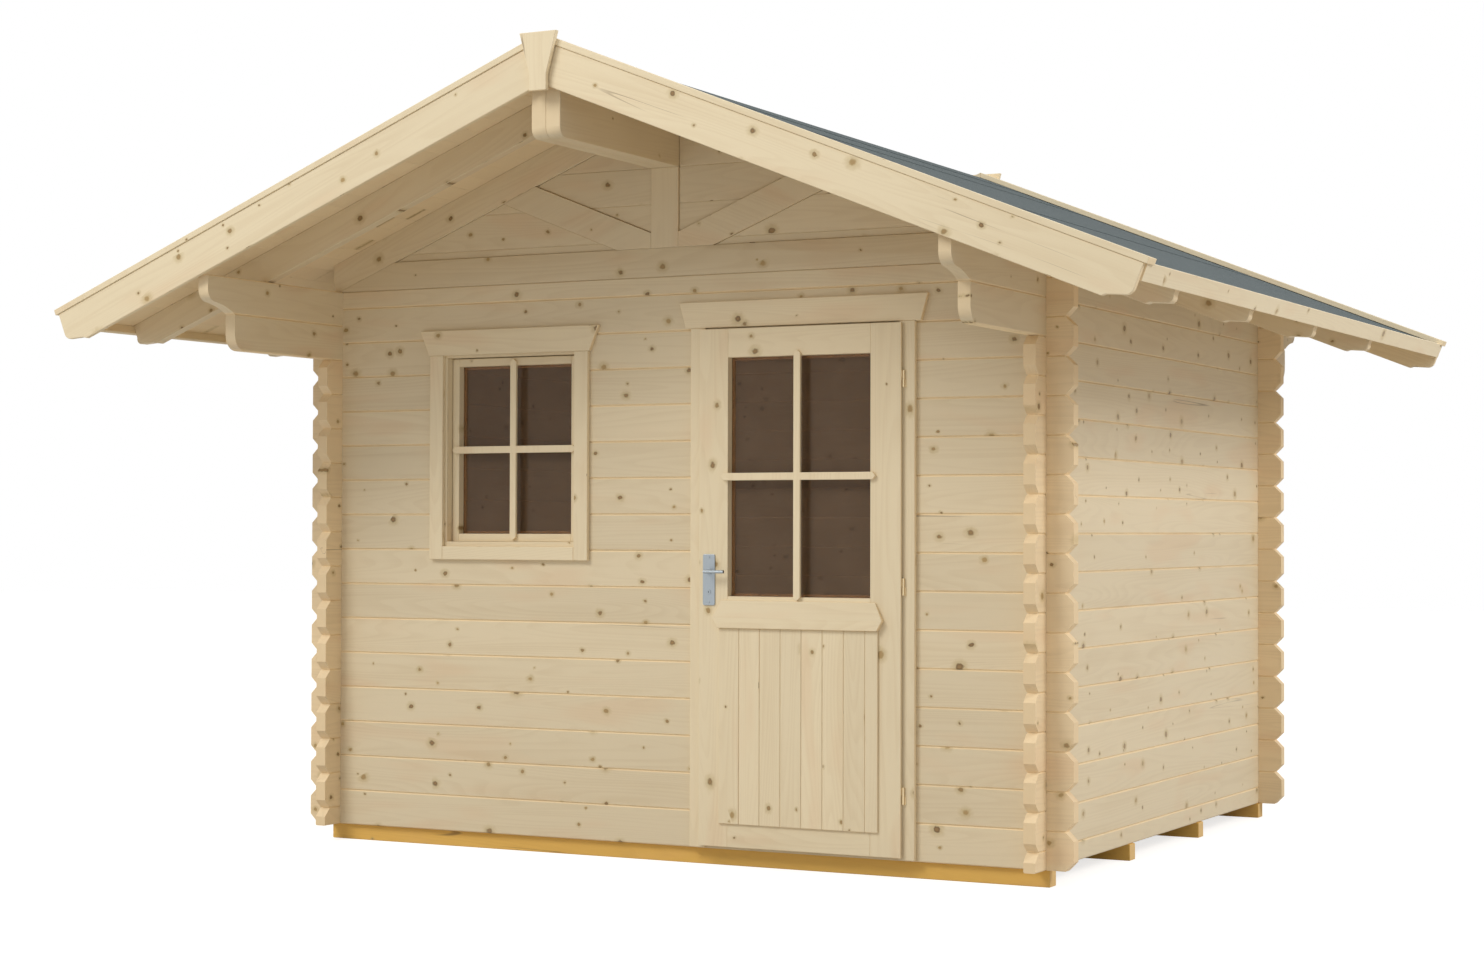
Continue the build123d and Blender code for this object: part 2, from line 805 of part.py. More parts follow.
def glazing_bars(x, face_y, z, side_lap, foot_lap, head_lap):
    """A cross of flat bars with pointed ends that lies on the face around a pane."""
    half = bar_width / 2
    middle_x = (x[0] + x[1]) / 2
    middle_z = (z[0] + z[1]) / 2
    left, right = x[0] - side_lap, x[1] + side_lap
    foot, head = z[0] - foot_lap, z[1] + head_lap
    with BuildPart() as bars:
        with BuildSketch(elevation(face_y - seat_gap)):
            Polygon(
                (left, middle_z), (left + bar_tip, middle_z - half), (right - bar_tip, middle_z - half),
                (right, middle_z), (right - bar_tip, middle_z + half), (left + bar_tip, middle_z + half),
                align=None,
            )
            Polygon(
                (middle_x, foot), (middle_x + half, foot + bar_tip), (middle_x + half, head - bar_tip),
                (middle_x, head), (middle_x - half, head - bar_tip), (middle_x - half, foot + bar_tip),
                align=None,
            )
        extrude(amount=bar_thickness)
    return bars.part


window_glass_y = sash_front_y + glass_setback
finish(pane(pane_x, window_glass_y, pane_z), "window_glass")
window_bar_laps = (window_bar_lap, window_bar_lap, window_bar_lap)
window_cross = glazing_bars(pane_x, sash_front_y, pane_z, *window_bar_laps)
finish(window_cross, "window_bars")

with BuildPart() as window_casings:
    y = (casing_front_y, casing_back_y)
    foot = window_bottom - window_foot_casing_height
    box_between((window_left - window_casing_width, window_left), y, (foot, window_top - seat_gap))
    box_between((window_right, window_right + window_casing_width), y, (foot, window_top - seat_gap))
    box_between((window_left + seat_gap, window_right - seat_gap), y, (foot, window_bottom))
finish(window_casings.part, "window_casings")

window_head_width = window_opening_width + 2 * (window_casing_width + window_head_lap)
window_head = head_casing(window_centre_x, window_head_width, window_top, window_head_flare)
finish(window_head, "window_head_casing")

# Door leaf: a lip that laps the casing and a body inside the frame
lip_back_y = casing_front_y - door_gap
leaf_front_y = lip_back_y - door_lip_thickness
leaf_back_y = lip_back_y + door_body_thickness
leaf_x = (door_left, door_right)
leaf_z = (wall_foot + door_leaf_bottom, wall_foot + door_leaf_top)
door_pane_x = (door_left + door_stile_width, door_right - door_stile_width)
door_pane_z = (wall_foot + door_glass_bottom, wall_foot + door_glass_top)
spindle_x = door_left + handle_plate_margin + handle_plate_width / 2
spindle_z = wall_foot + lever_height

with BuildPart() as door_leaf:
    box_between(leaf_x, (leaf_front_y, lip_back_y), leaf_z)
    box_between(
        (clear_left + door_gap, clear_right - door_gap),
        (lip_back_y, leaf_back_y),
        (wall_foot + threshold_height + door_gap, clear_top - door_gap),
    )
    box_between(door_pane_x, (leaf_front_y - 1, leaf_back_y + 1), door_pane_z, mode=Mode.SUBTRACT)
    with BuildSketch(elevation(leaf_back_y)):
        with Locations((spindle_x, spindle_z)):
            Circle(spindle_radius + spindle_hole_gap)
    extrude(amount=leaf_back_y - leaf_front_y, mode=Mode.SUBTRACT)
finish(door_leaf.part, "door_leaf")

door_glass_y = leaf_front_y + glass_setback
finish(pane(door_pane_x, door_glass_y, door_pane_z), "door_glass")
door_bar_laps = (door_bar_side_lap, door_bar_foot_lap, door_bar_head_lap)
door_cross = glazing_bars(door_pane_x, leaf_front_y, door_pane_z, *door_bar_laps)
finish(door_cross, "door_bars")

panel_left = door_centre_x - door_panel_width / 2
panel_right = door_centre_x + door_panel_width / 2
with BuildPart() as door_panel:
    for k in range(ceil(door_panel_width / door_panel_board_pitch)):
        left = panel_left + k * door_panel_board_pitch
        box_between(
            (left + seat_gap, min(left + door_panel_board_pitch, panel_right) - seat_gap),
            (leaf_front_y - door_panel_thickness, leaf_front_y - seat_gap),
            (wall_foot + door_panel_bottom, wall_foot + door_panel_top),
        )
finish(door_panel.part, "door_panel_boards")

# Drip board over the panel, thickest and widest at a crease
with BuildPart() as drip_board:
    foot = wall_foot + door_panel_top + seat_gap
    top = foot + drip_board_height
    crease = foot + drip_board_crease_height
    half_foot = door_panel_width / 2
    half_crease = drip_board_crease_width / 2
    half_top = drip_board_top_width / 2
    with BuildSketch(Plane.YZ.offset(door_centre_x - half_crease)):
        Polygon(
            (leaf_front_y - seat_gap, foot), (leaf_front_y - drip_board_thickness, foot),
            (leaf_front_y - drip_board_thickness, crease), (leaf_front_y - drip_board_top_thickness, top),
            (leaf_front_y - seat_gap, top),
            align=None,
        )
    extrude(amount=drip_board_crease_width)
    with BuildSketch(elevation(leaf_front_y)):
        Polygon(
            (door_centre_x - half_foot, foot), (door_centre_x + half_foot, foot),
            (door_centre_x + half_crease, crease), (door_centre_x + half_top, top),
            (door_centre_x - half_top, top), (door_centre_x - half_crease, crease),
            align=None,
        )
    extrude(amount=2 * drip_board_thickness, mode=Mode.INTERSECT)
finish(drip_board.part, "door_drip_board")

# Handle plates on both faces and one lever on a spindle through the leaf
plate_z = spindle_z - handle_plate_drop
with BuildPart() as handle_plates:
    for y_back in (leaf_front_y - seat_gap, leaf_back_y + seat_gap + handle_plate_thickness):
        with BuildSketch(elevation(y_back)) as face:
            with Locations((spindle_x, plate_z)):
                RectangleRounded(handle_plate_width, handle_plate_height, 6.0)
            with Locations((spindle_x, spindle_z)):
                Circle(spindle_radius + spindle_gap, mode=Mode.SUBTRACT)
        extrude(amount=handle_plate_thickness)
finish(handle_plates.part, "door_handle_plates")

with BuildPart() as door_lever:
    outer_y = leaf_front_y - lever_standoff
    inner_y = leaf_back_y + lever_standoff
    with BuildSketch(elevation(inner_y)):
        with Locations((spindle_x, spindle_z)):
            Circle(spindle_radius)
    extrude(amount=inner_y - outer_y)
    for y in (outer_y, inner_y):
        with BuildSketch(Plane.YZ.offset(spindle_x - lever_radius)) as bar:
            with Locations((y, spindle_z)):
                Circle(lever_radius)
        extrude(amount=lever_length)
finish(door_lever.part, "door_lever")

# Hinges: lower knuckle with the pin on the frame, upper knuckle on the leaf's edge
hinge_x = door_right + seat_gap + hinge_radius
hinge_y = casing_front_y - seat_gap - hinge_radius
knuckle = (hinge_height - hinge_split_gap) / 2

with BuildPart() as frame_hinges:
    for height in hinge_heights:
        foot = wall_foot + height - hinge_height / 2
        with Locations((hinge_x, hinge_y, foot)):
            Cylinder(hinge_radius, knuckle, align=(Align.CENTER, Align.CENTER, Align.MIN))
            Cylinder(hinge_pin_radius, hinge_height - 5, align=(Align.CENTER, Align.CENTER, Align.MIN))
        box_between(
            (hinge_x, hinge_x + hinge_flap_width),
            (casing_front_y - seat_gap - hinge_flap_thickness, casing_front_y - seat_gap),
            (foot, foot + knuckle),
        )
finish(frame_hinges.part, "frame_hinges")

with BuildPart() as leaf_hinges:
    for height in hinge_heights:
        foot = wall_foot + height - hinge_height / 2 + knuckle + hinge_split_gap
        with Locations((hinge_x, hinge_y, foot)):
            Cylinder(hinge_radius, knuckle, align=(Align.CENTER, Align.CENTER, Align.MIN))
        box_between(
            (door_right + seat_gap, door_right + seat_gap + hinge_flap_thickness),
            (hinge_y - hinge_flap_width, hinge_y),
            (foot, foot + knuckle),
        )
        with Locations((hinge_x, hinge_y, foot)):
            Cylinder(
                hinge_pin_radius + hinge_pin_gap, knuckle - 4,
                align=(Align.CENTER, Align.CENTER, Align.MIN), mode=Mode.SUBTRACT,
            )
finish(leaf_hinges.part, "leaf_hinges")
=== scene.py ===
from math import cos, pi, radians, sin

import bmesh
import bpy
from mathutils import Matrix, Vector


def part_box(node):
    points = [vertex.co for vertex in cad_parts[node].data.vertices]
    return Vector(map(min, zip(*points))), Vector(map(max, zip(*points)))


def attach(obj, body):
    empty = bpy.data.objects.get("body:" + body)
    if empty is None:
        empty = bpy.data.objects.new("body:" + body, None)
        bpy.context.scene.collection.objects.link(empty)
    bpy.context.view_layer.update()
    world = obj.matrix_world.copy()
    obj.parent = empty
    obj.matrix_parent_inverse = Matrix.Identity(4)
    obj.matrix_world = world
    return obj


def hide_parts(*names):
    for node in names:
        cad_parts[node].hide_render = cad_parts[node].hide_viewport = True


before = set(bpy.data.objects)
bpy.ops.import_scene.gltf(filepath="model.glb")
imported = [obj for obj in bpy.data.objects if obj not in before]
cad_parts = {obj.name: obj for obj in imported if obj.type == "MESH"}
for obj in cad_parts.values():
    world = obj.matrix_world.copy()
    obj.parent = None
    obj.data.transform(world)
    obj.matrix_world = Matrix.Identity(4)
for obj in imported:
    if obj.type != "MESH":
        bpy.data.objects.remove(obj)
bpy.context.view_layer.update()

# Sizes that the finish follows, in metres
ROOF_PITCH = radians(21.8)
LOG_HEIGHT = 0.135
LOG_TIP = 0.1                  # how far the logs' ends stand beyond the crossing
COURSES_UNDER_BRACKET = 14
GABLE_COURSES = 4
KING_POST_HALF = 0.0578
FLOOR_BOARD = 0.088
NARROWEST_FLOOR_BOARD = 0.02
ROOF_BOARD = 0.0925
NARROWEST_ROOF_BOARD = 0.03
WALL_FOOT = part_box("base_beams")[1][2]
WALL_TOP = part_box("rear_wall")[1][2]
FRONT_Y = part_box("front_wall_left")[0][1]
REAR_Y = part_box("rear_wall")[1][1]
SIDE_FIRST_JOINT = WALL_FOOT - LOG_HEIGHT / 2
BRACKET_FOOT = SIDE_FIRST_JOINT + COURSES_UNDER_BRACKET * LOG_HEIGHT


# Node helpers
def node(tree, kind, inputs=None, **settings):
    """Add a node, give it its settings, and link or set its inputs."""
    made = tree.nodes.new(kind)
    for name, value in settings.items():
        setattr(made, name, value)
    for key, value in (inputs or {}).items():
        if isinstance(value, bpy.types.NodeSocket):
            tree.links.new(value, made.inputs[key])
        else:
            made.inputs[key].default_value = value
    return made


def maths(tree, operation, first, second=0.0, clamp=False):
    """A Math node's result."""
    return node(tree, "ShaderNodeMath", {0: first, 1: second}, operation=operation,
                use_clamp=clamp).outputs[0]


def vector_maths(tree, operation, first, second=(0.0, 0.0, 0.0), output=0):
    """A Vector Math node's result: output 0 is a vector, output 1 a number."""
    made = node(tree, "ShaderNodeVectorMath", {0: first, 1: second}, operation=operation)
    return made.outputs[output]


def between(tree, value, low, high, result_low=0.0, result_high=1.0, smooth=False):
    """A Map Range node's result, held to its limits."""
    limits = {"From Min": low, "From Max": high, "To Min": result_low, "To Max": result_high}
    return node(tree, "ShaderNodeMapRange", {"Value": value, **limits},
                interpolation_type="SMOOTHSTEP" if smooth else "LINEAR").outputs["Result"]


def blend_colour(tree, factor, first, second, mode="MIX"):
    """A Mix node's colour: the first one where the factor is 0, the second where it is 1."""
    return node(tree, "ShaderNodeMix", {"Factor": factor, 6: first, 7: second}, data_type="RGBA",
                blend_type=mode).outputs[2]


def blend_value(tree, factor, first, second):
    """The first number where the factor is 0, the second where it is 1."""
    change = maths(tree, "SUBTRACT", second, first)
    return maths(tree, "ADD", first, maths(tree, "MULTIPLY", factor, change))


def stretched_noise(tree, place, fineness, detail, **inputs):
    """Noise that changes as fast along each axis as its fineness says."""
    vector = vector_maths(tree, "MULTIPLY", place, fineness)
    texture = node(tree, "ShaderNodeTexNoise",
                   {"Vector": vector, "Scale": 1.0, "Detail": detail, **inputs})
    return texture.outputs["Fac"]


def new_group(name, inputs, outputs):
    """An empty shader node group with named sockets, and its input and output nodes."""
    group = bpy.data.node_groups.new(name, "ShaderNodeTree")
    for socket_name, kind, value in inputs:
        socket = group.interface.new_socket(name=socket_name, in_out="INPUT",
                                            socket_type=f"NodeSocket{kind}")
        if value is not None:
            socket.default_value = value
    for socket_name, kind in outputs:
        group.interface.new_socket(name=socket_name, in_out="OUTPUT", socket_type=f"NodeSocket{kind}")
    return group, group.nodes.new("NodeGroupInput"), group.nodes.new("NodeGroupOutput")


# Softwood
KNOT_LENGTH = 1.2              # along the grain, over its width
SMALL_KNOT_BIAS = 1.7          # above 1, small knots outnumber large ones
KNOT_EDGE_WOBBLE = 0.013
RING_COUNT = 26.0
END_RINGS_PER_METRE = 240.0
BLUSH = (0.74, 0.42, 0.22, 1)
END_GRAIN = (0.87, 0.66, 0.39, 1)
KNOT_HALO = (0.52, 0.39, 0.16, 1)
KNOT_MIDDLE = (0.31, 0.19, 0.08, 1)
KNOT_RIM = (0.15, 0.09, 0.042, 1)
PALE_KNOT = (0.47, 0.32, 0.14, 1)
CHECK_SHADE = (0.16, 0.09, 0.04, 1)


def knot_field(group, flat, cell, chance, smallest, largest, wobble):
    """Small round knots in the plane of the board: one per stretched cell, sized in metres.

    Gives the distance from the knot's middle over its radius, whether the cell has a knot, and
    a number from 0 to 1 for the knot's tint.
    """
    place = vector_maths(group, "MULTIPLY", flat, cell)
    cells = node(group, "ShaderNodeTexVoronoi", {"Vector": place, "Scale": 1.0}, feature="F1",
                 voronoi_dimensions="2D")
    offset = vector_maths(group, "SUBTRACT", place, cells.outputs["Position"])
    offset = vector_maths(group, "DIVIDE", offset, (cell[0] * KNOT_LENGTH, cell[1], 1.0))
    parts = node(group, "ShaderNodeSeparateColor", {0: cells.outputs["Color"]})
    away = maths(group, "ADD", vector_maths(group, "LENGTH", offset, output=1), wobble)
    size = maths(group, "POWER", parts.outputs[1], SMALL_KNOT_BIAS)
    radius = between(group, size, 0.0, 1.0, smallest, largest)
    chosen = maths(group, "LESS_THAN", parts.outputs[0], chance)
    return maths(group, "DIVIDE", away, radius), chosen, parts.outputs[2]


def round_knot(group, away, near, far, chosen):
    """1 nearer to the knot's middle than near, fading to 0 at far, and 0 where there is no knot."""
    return maths(group, "MULTIPLY", between(group, away, near, far, 1.0, 0.0, smooth=True), chosen)


def make_softwood_group():
    """Planed spruce: faint grain, fibres, small dark knots, drying checks and end grain.

    The Vector runs along the grain in X and through the board in Y. Seed differs per board.
    """
    group, source, result = new_group(
        "softwood",
        [("Vector", "Vector", None), ("Normal", "Vector", None), ("Seed", "Float", 0.5),
         ("Light Wood", "Color", (0.72, 0.57, 0.36, 1)), ("Dark Wood", "Color", (0.55, 0.38, 0.19, 1)),
         ("Knot Amount", "Float", 0.35)],
        [("Color", "Color"), ("Roughness", "Float"), ("Height", "Float")],
    )
    vector, amount = source.outputs["Vector"], source.outputs["Knot Amount"]

    # Every board shows another part of the wood
    seed = maths(group, "MULTIPLY", source.outputs["Seed"], 91.7)
    shuffle = node(group, "ShaderNodeTexWhiteNoise", {"W": seed}, noise_dimensions="1D")
    shuffle_parts = node(group, "ShaderNodeSeparateColor", {0: shuffle.outputs["Color"]})
    shift = vector_maths(group, "MULTIPLY", shuffle.outputs["Color"], (23.0, 9.0, 9.0))
    here = vector_maths(group, "ADD", vector, shift)
    spot = node(group, "ShaderNodeSeparateXYZ", {0: here})
    flat = node(group, "ShaderNodeCombineXYZ",
                {0: spot.outputs[0], 1: spot.outputs[2], 2: 0.0}).outputs[0]

    # Knots, small ones everywhere and a few larger ones
    rough_edge = node(group, "ShaderNodeTexNoise", {"Vector": here, "Scale": 70.0, "Detail": 3.0})
    wobble = maths(group, "MULTIPLY", maths(group, "SUBTRACT", rough_edge.outputs["Fac"], 0.5),
                   KNOT_EDGE_WOBBLE)
    small, small_here, small_tint = knot_field(
        group, flat, cell=(5.2, 11.0, 1.0), chance=maths(group, "MULTIPLY", amount, 1.4),
        smallest=0.003, largest=0.0105, wobble=wobble)
    large, large_here, large_tint = knot_field(
        group, vector_maths(group, "ADD", flat, (3.7, 1.9, 0.0)), cell=(1.7, 6.0, 1.0),
        chance=maths(group, "MULTIPLY", amount, 0.9), smallest=0.006, largest=0.0125, wobble=wobble)
    swirl = maths(group, "MAXIMUM", round_knot(group, small, 0.8, 3.2, small_here),
                  round_knot(group, large, 0.9, 3.0, large_here))
    core_small = round_knot(group, small, 0.55, 1.3, small_here)
    core_large = round_knot(group, large, 0.7, 1.2, large_here)

    # Growth rings cut along the board: contours of a smooth field that hardly changes along it
    field = stretched_noise(group, here, (0.5, 4.6, 6.5), 1.4, Roughness=0.42, Distortion=0.2)
    rings = maths(group, "ADD", maths(group, "MULTIPLY", field, RING_COUNT),
                  maths(group, "MULTIPLY", swirl, 0.8))
    saw = maths(group, "FRACT", rings)
    late_wood = maths(group, "MULTIPLY", between(group, saw, 0.2, 0.85, smooth=True),
                      between(group, saw, 0.88, 1.0, 1.0, 0.0, smooth=True))

    # End grain: arcs round a pith near the board
    section = node(group, "ShaderNodeSeparateXYZ", {0: vector})
    pith_y = between(group, shuffle_parts.outputs[0], 0.0, 1.0, -0.05, 0.05)
    pith_z = between(group, shuffle_parts.outputs[1], 0.0, 1.0, -0.09, 0.09)
    across = node(group, "ShaderNodeCombineXYZ",
                  {0: maths(group, "SUBTRACT", section.outputs[1], pith_y),
                   1: maths(group, "SUBTRACT", section.outputs[2], pith_z)})
    arcs = maths(group, "MULTIPLY", vector_maths(group, "LENGTH", across.outputs[0], output=1),
                 END_RINGS_PER_METRE)
    end_late = between(group, maths(group, "FRACT", arcs), 0.35, 0.95, smooth=True)
    facing = node(group, "ShaderNodeSeparateXYZ", {0: source.outputs["Normal"]})
    end = between(group, maths(group, "ABSOLUTE", facing.outputs[0]), 0.6, 0.9, smooth=True)
    late = blend_value(group, end, late_wood, end_late)

    # Fibres, pale and rosy patches, and a slow change of tone along the board
    fibre = stretched_noise(group, here, (4.0, 240.0, 240.0), 3.0)
    streak = stretched_noise(group, here, (0.9, 30.0, 34.0), 2.0)
    tone = stretched_noise(group, here, (1.3, 4.0, 5.0), 2.0)
    rosy = stretched_noise(group, here, (2.2, 3.0, 9.0), 1.0)

    # Drying checks: long thin dark lines along the grain, on few boards
    split_line = stretched_noise(group, here, (0.3, 11.0, 11.0), 2.0)
    thin = maths(group, "ABSOLUTE", maths(group, "SUBTRACT", split_line, 0.5))
    where = maths(group, "MULTIPLY", between(group, tone, 0.60, 0.66),
                  maths(group, "GREATER_THAN", shuffle_parts.outputs[2], 0.66))
    split = maths(group, "MULTIPLY", where, between(group, thin, 0.0016, 0.0048, 1.0, 0.0))

    # Colour
    mix = maths(group, "MULTIPLY", late, 0.13)
    for texture, share in ((fibre, 0.16), (streak, 0.34), (tone, 0.42)):
        swing = maths(group, "SUBTRACT", texture, 0.5)
        mix = maths(group, "ADD", mix, maths(group, "MULTIPLY", swing, share))
    mix = maths(group, "SUBTRACT", mix, maths(group, "MULTIPLY", end, 0.06))
    mix = maths(group, "ADD", mix, maths(group, "MULTIPLY", swirl, 0.14), clamp=True)
    colour = blend_colour(group, mix, source.outputs["Light Wood"], source.outputs["Dark Wood"])
    board_tone = between(group, shuffle_parts.outputs[2], 0.0, 1.0, 0.95, 1.03)
    tone_grey = node(group, "ShaderNodeCombineColor", {0: board_tone, 1: board_tone, 2: board_tone})
    colour = blend_colour(group, 1.0, colour, tone_grey.outputs[0], mode="MULTIPLY")
    blush = maths(group, "MULTIPLY", between(group, rosy, 0.56, 0.74, smooth=True), 0.16)
    colour = blend_colour(group, blush, colour, BLUSH)
    colour = blend_colour(group, maths(group, "MULTIPLY", end, 0.45), colour, END_GRAIN)
    colour = blend_colour(group, maths(group, "MULTIPLY", swirl, 0.42), colour, KNOT_HALO)

    # Dark knot hearts, some paler and browner than others
    for core, away, tint in ((core_small, small, small_tint), (core_large, large, large_tint)):
        heart = blend_colour(group, between(group, away, 0.2, 1.0, smooth=True), KNOT_MIDDLE, KNOT_RIM)
        heart = blend_colour(group, between(group, tint, 0.25, 0.85, 0.0, 0.9), heart, PALE_KNOT)
        colour = blend_colour(group, core, colour, heart)
    colour = blend_colour(group, maths(group, "MULTIPLY", split, 0.6), colour, CHECK_SHADE)
    group.links.new(colour, result.inputs["Color"])

    core = maths(group, "MAXIMUM", core_small, core_large)
    rough = blend_value(group, late, 0.66, 0.58)
    rough = blend_value(group, end, rough, 0.8)
    rough = blend_value(group, core, rough, 0.42)
    group.links.new(rough, result.inputs["Roughness"])

    height = maths(group, "ADD", maths(group, "MULTIPLY", fibre, 0.3), maths(group, "MULTIPLY", late, 0.2))
    height = maths(group, "SUBTRACT", height, maths(group, "MULTIPLY", split, 1.4))
    height = maths(group, "ADD", height, maths(group, "MULTIPLY", core, 0.25))
    group.links.new(height, result.inputs["Height"])
    return group


SOFTWOOD = make_softwood_group()

# Grain directions: how the object's coordinates turn so that X runs along the grain and Y goes
# through the board. Boards that are "flat y" lie on the floor or the roof and run front to back.
TURNS = {"x": (0, 0, 0), "y": (0, 0, -pi / 2), "z": (0, pi / 2, 0), "flat y": (pi / 2, 0, -pi / 2)}


def turned(tree, socket, direction, kind="POINT"):
    """The coordinates or normal, with X along the grain.

    "slope" runs down the roof's pitch, and "roof y" lies on it and runs front to back, on both
    sides of the ridge alike.
    """
    if direction not in ("slope", "roof y"):
        return node(tree, "ShaderNodeMapping", {"Vector": socket, "Rotation": TURNS[direction]},
                    vector_type=kind).outputs[0]
    parts = node(tree, "ShaderNodeSeparateXYZ", {0: socket})
    if kind == "POINT":
        outward = maths(tree, "ABSOLUTE", parts.outputs[0])
    else:
        place = node(tree, "ShaderNodeTexCoord").outputs["Object"]
        side = maths(tree, "SIGN", node(tree, "ShaderNodeSeparateXYZ", {0: place}).outputs[0])
        outward = maths(tree, "MULTIPLY", parts.outputs[0], side)
    socket = node(tree, "ShaderNodeCombineXYZ",
                  {0: outward, 1: parts.outputs[1], 2: parts.outputs[2]}).outputs[0]
    socket = node(tree, "ShaderNodeMapping", {"Vector": socket, "Rotation": (0, -ROOF_PITCH, 0)},
                  vector_type=kind).outputs[0]
    if direction == "slope":
        return socket
    return node(tree, "ShaderNodeMapping", {"Vector": socket, "Rotation": TURNS["flat y"]},
                vector_type=kind).outputs[0]


def start_material(name):
    """A new material, with its node tree and its shader."""
    material = bpy.data.materials.new(name)
    material.use_nodes = True
    tree = material.node_tree
    return material, tree, tree.nodes["Principled BSDF"]


def join_bump(tree, shader, height, strength, distance):
    """Let the height stand out from the shader's surface."""
    bumped = node(tree, "ShaderNodeBump", {"Height": height, "Strength": strength, "Distance": distance})
    tree.links.new(bumped.outputs["Normal"], shader.inputs["Normal"])


def join_wood(tree, shader, vector, normal, seed, colours, knots=0.35):
    """Put the softwood group into a material and feed its shader."""
    wood = node(tree, "ShaderNodeGroup", {
        "Vector": vector, "Normal": normal, "Seed": seed, "Light Wood": colours[0],
        "Dark Wood": colours[1], "Knot Amount": knots,
    }, node_tree=SOFTWOOD)
    tree.links.new(wood.outputs["Color"], shader.inputs["Base Color"])
    tree.links.new(wood.outputs["Roughness"], shader.inputs["Roughness"])
    shader.inputs["Specular IOR Level"].default_value = 0.35
    join_bump(tree, shader, wood.outputs["Height"], 0.25, 0.0012)


# Light and dark wood of the logs and roof timbers, of the planed trims, and of the treated beams
PALE = ((0.785, 0.665, 0.46, 1), (0.56, 0.41, 0.225, 1))
CREAM = ((0.87, 0.74, 0.51, 1), (0.63, 0.465, 0.26, 1))
TREATED = ((0.80, 0.49, 0.12, 1), (0.58, 0.30, 0.05, 1))
# Painted light: a paler colour for the log tips beyond the crossing
TIP_PAINTED_LIGHT = (0.88, 0.70, 0.45, 1)
# Painted highlight along the groove at each log joint
GROOVE_PAINTED_HIGHLIGHT = (0.95, 0.76, 0.48, 1)


def log_material(name, direction, first_joint, wall_number):
    """Logs of one wall: every course is a board of its own, with painted light: the tips beyond the
    crossing are painted paler, and a pale line along each joint is a painted highlight.
    """
    if direction == "x":
        middle_of_wall, half = 0.0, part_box("rear_wall")[1][0]
    else:
        middle_of_wall, half = (FRONT_Y + REAR_Y) / 2, (REAR_Y - FRONT_Y) / 2 + LOG_TIP
    crossing = half - LOG_TIP
    material, tree, shader = start_material(name)
    coordinates = node(tree, "ShaderNodeTexCoord")
    parts = node(tree, "ShaderNodeSeparateXYZ", {0: coordinates.outputs["Object"]})

    # The log's number from the wall's foot, and the place within that log
    course = maths(tree, "DIVIDE", maths(tree, "SUBTRACT", parts.outputs[2], first_joint), LOG_HEIGHT)
    number = maths(tree, "FLOOR", maths(tree, "ADD", course, 0.002))
    middle = maths(tree, "MULTIPLY", maths(tree, "ADD", number, 0.5), LOG_HEIGHT)
    middle = maths(tree, "ADD", middle, first_joint)
    rise = maths(tree, "SUBTRACT", parts.outputs[2], middle)
    local = node(tree, "ShaderNodeCombineXYZ", {0: parts.outputs[0], 1: parts.outputs[1], 2: rise})
    seed = node(tree, "ShaderNodeTexWhiteNoise", {"W": maths(tree, "ADD", number, wall_number * 31.7)},
                noise_dimensions="1D")
    vector = turned(tree, local.outputs[0], direction)
    normal = turned(tree, coordinates.outputs["Normal"], direction, kind="VECTOR")

    # Tips, which the side walls' brackets don't have, painted paler: painted light, as they stand clear of
    # the soffit's shade
    along = node(tree, "ShaderNodeSeparateXYZ", {0: vector}).outputs[0]
    from_middle = maths(tree, "ABSOLUTE", maths(tree, "SUBTRACT", along, middle_of_wall))
    tip = between(tree, from_middle, crossing - 0.002, crossing + 0.002, smooth=True)
    if direction == "y":
        tip = maths(tree, "MULTIPLY", tip, maths(tree, "LESS_THAN", parts.outputs[2], BRACKET_FOOT))
    pale = blend_colour(tree, tip, PALE[0], TIP_PAINTED_LIGHT)

    # The groove at each joint, as a share of a log's height, painted paler: a painted highlight
    from_joint = maths(tree, "ABSOLUTE", maths(tree, "SUBTRACT", course, maths(tree, "ROUND", course)))
    groove = between(tree, from_joint, 0.025, 0.045, 0.7, 0.0, smooth=True)
    pale = blend_colour(tree, groove, pale, GROOVE_PAINTED_HIGHLIGHT)
    join_wood(tree, shader, vector, normal, seed.outputs["Value"], (pale, PALE[1]))
    return material


def board_material(name, direction, seed_number, colours=CREAM, knots=0.3):
    """Boards whose grain runs one way; each separate board in the mesh has wood of its own."""
    material, tree, shader = start_material(name)
    coordinates = node(tree, "ShaderNodeTexCoord")
    board = node(tree, "ShaderNodeNewGeometry").outputs["Random Per Island"]
    seed = maths(tree, "FRACT", maths(tree, "ADD", board, seed_number * 0.137))
    vector = turned(tree, coordinates.outputs["Object"], direction)
    normal = turned(tree, coordinates.outputs["Normal"], direction, kind="VECTOR")
    join_wood(tree, shader, vector, normal, seed, colours, knots)
    return material


def felt_material():
    """Blue-grey roofing felt with mineral granules."""
    material, tree, shader = start_material("mineral_felt")
    place = node(tree, "ShaderNodeTexCoord").outputs["Object"]
    granules = node(tree, "ShaderNodeTexVoronoi", {"Vector": place, "Scale": 420.0})
    patches = node(tree, "ShaderNodeTexNoise", {"Vector": place, "Scale": 2.2, "Detail": 3.0})
    parts = node(tree, "ShaderNodeSeparateColor", {0: granules.outputs["Color"]})
    colour = blend_colour(tree, parts.outputs[0], (0.036, 0.052, 0.054, 1), (0.088, 0.115, 0.118, 1))
    colour = blend_colour(tree, between(tree, patches.outputs["Fac"], 0.35, 0.7, 0.0, 0.35),
                          colour, (0.068, 0.09, 0.088, 1))
    tree.links.new(colour, shader.inputs["Base Color"])
    tree.links.new(between(tree, parts.outputs[1], 0.0, 1.0, 0.7, 0.95), shader.inputs["Roughness"])
    join_bump(tree, shader, granules.outputs["Distance"], 0.5, 0.001)
    return material


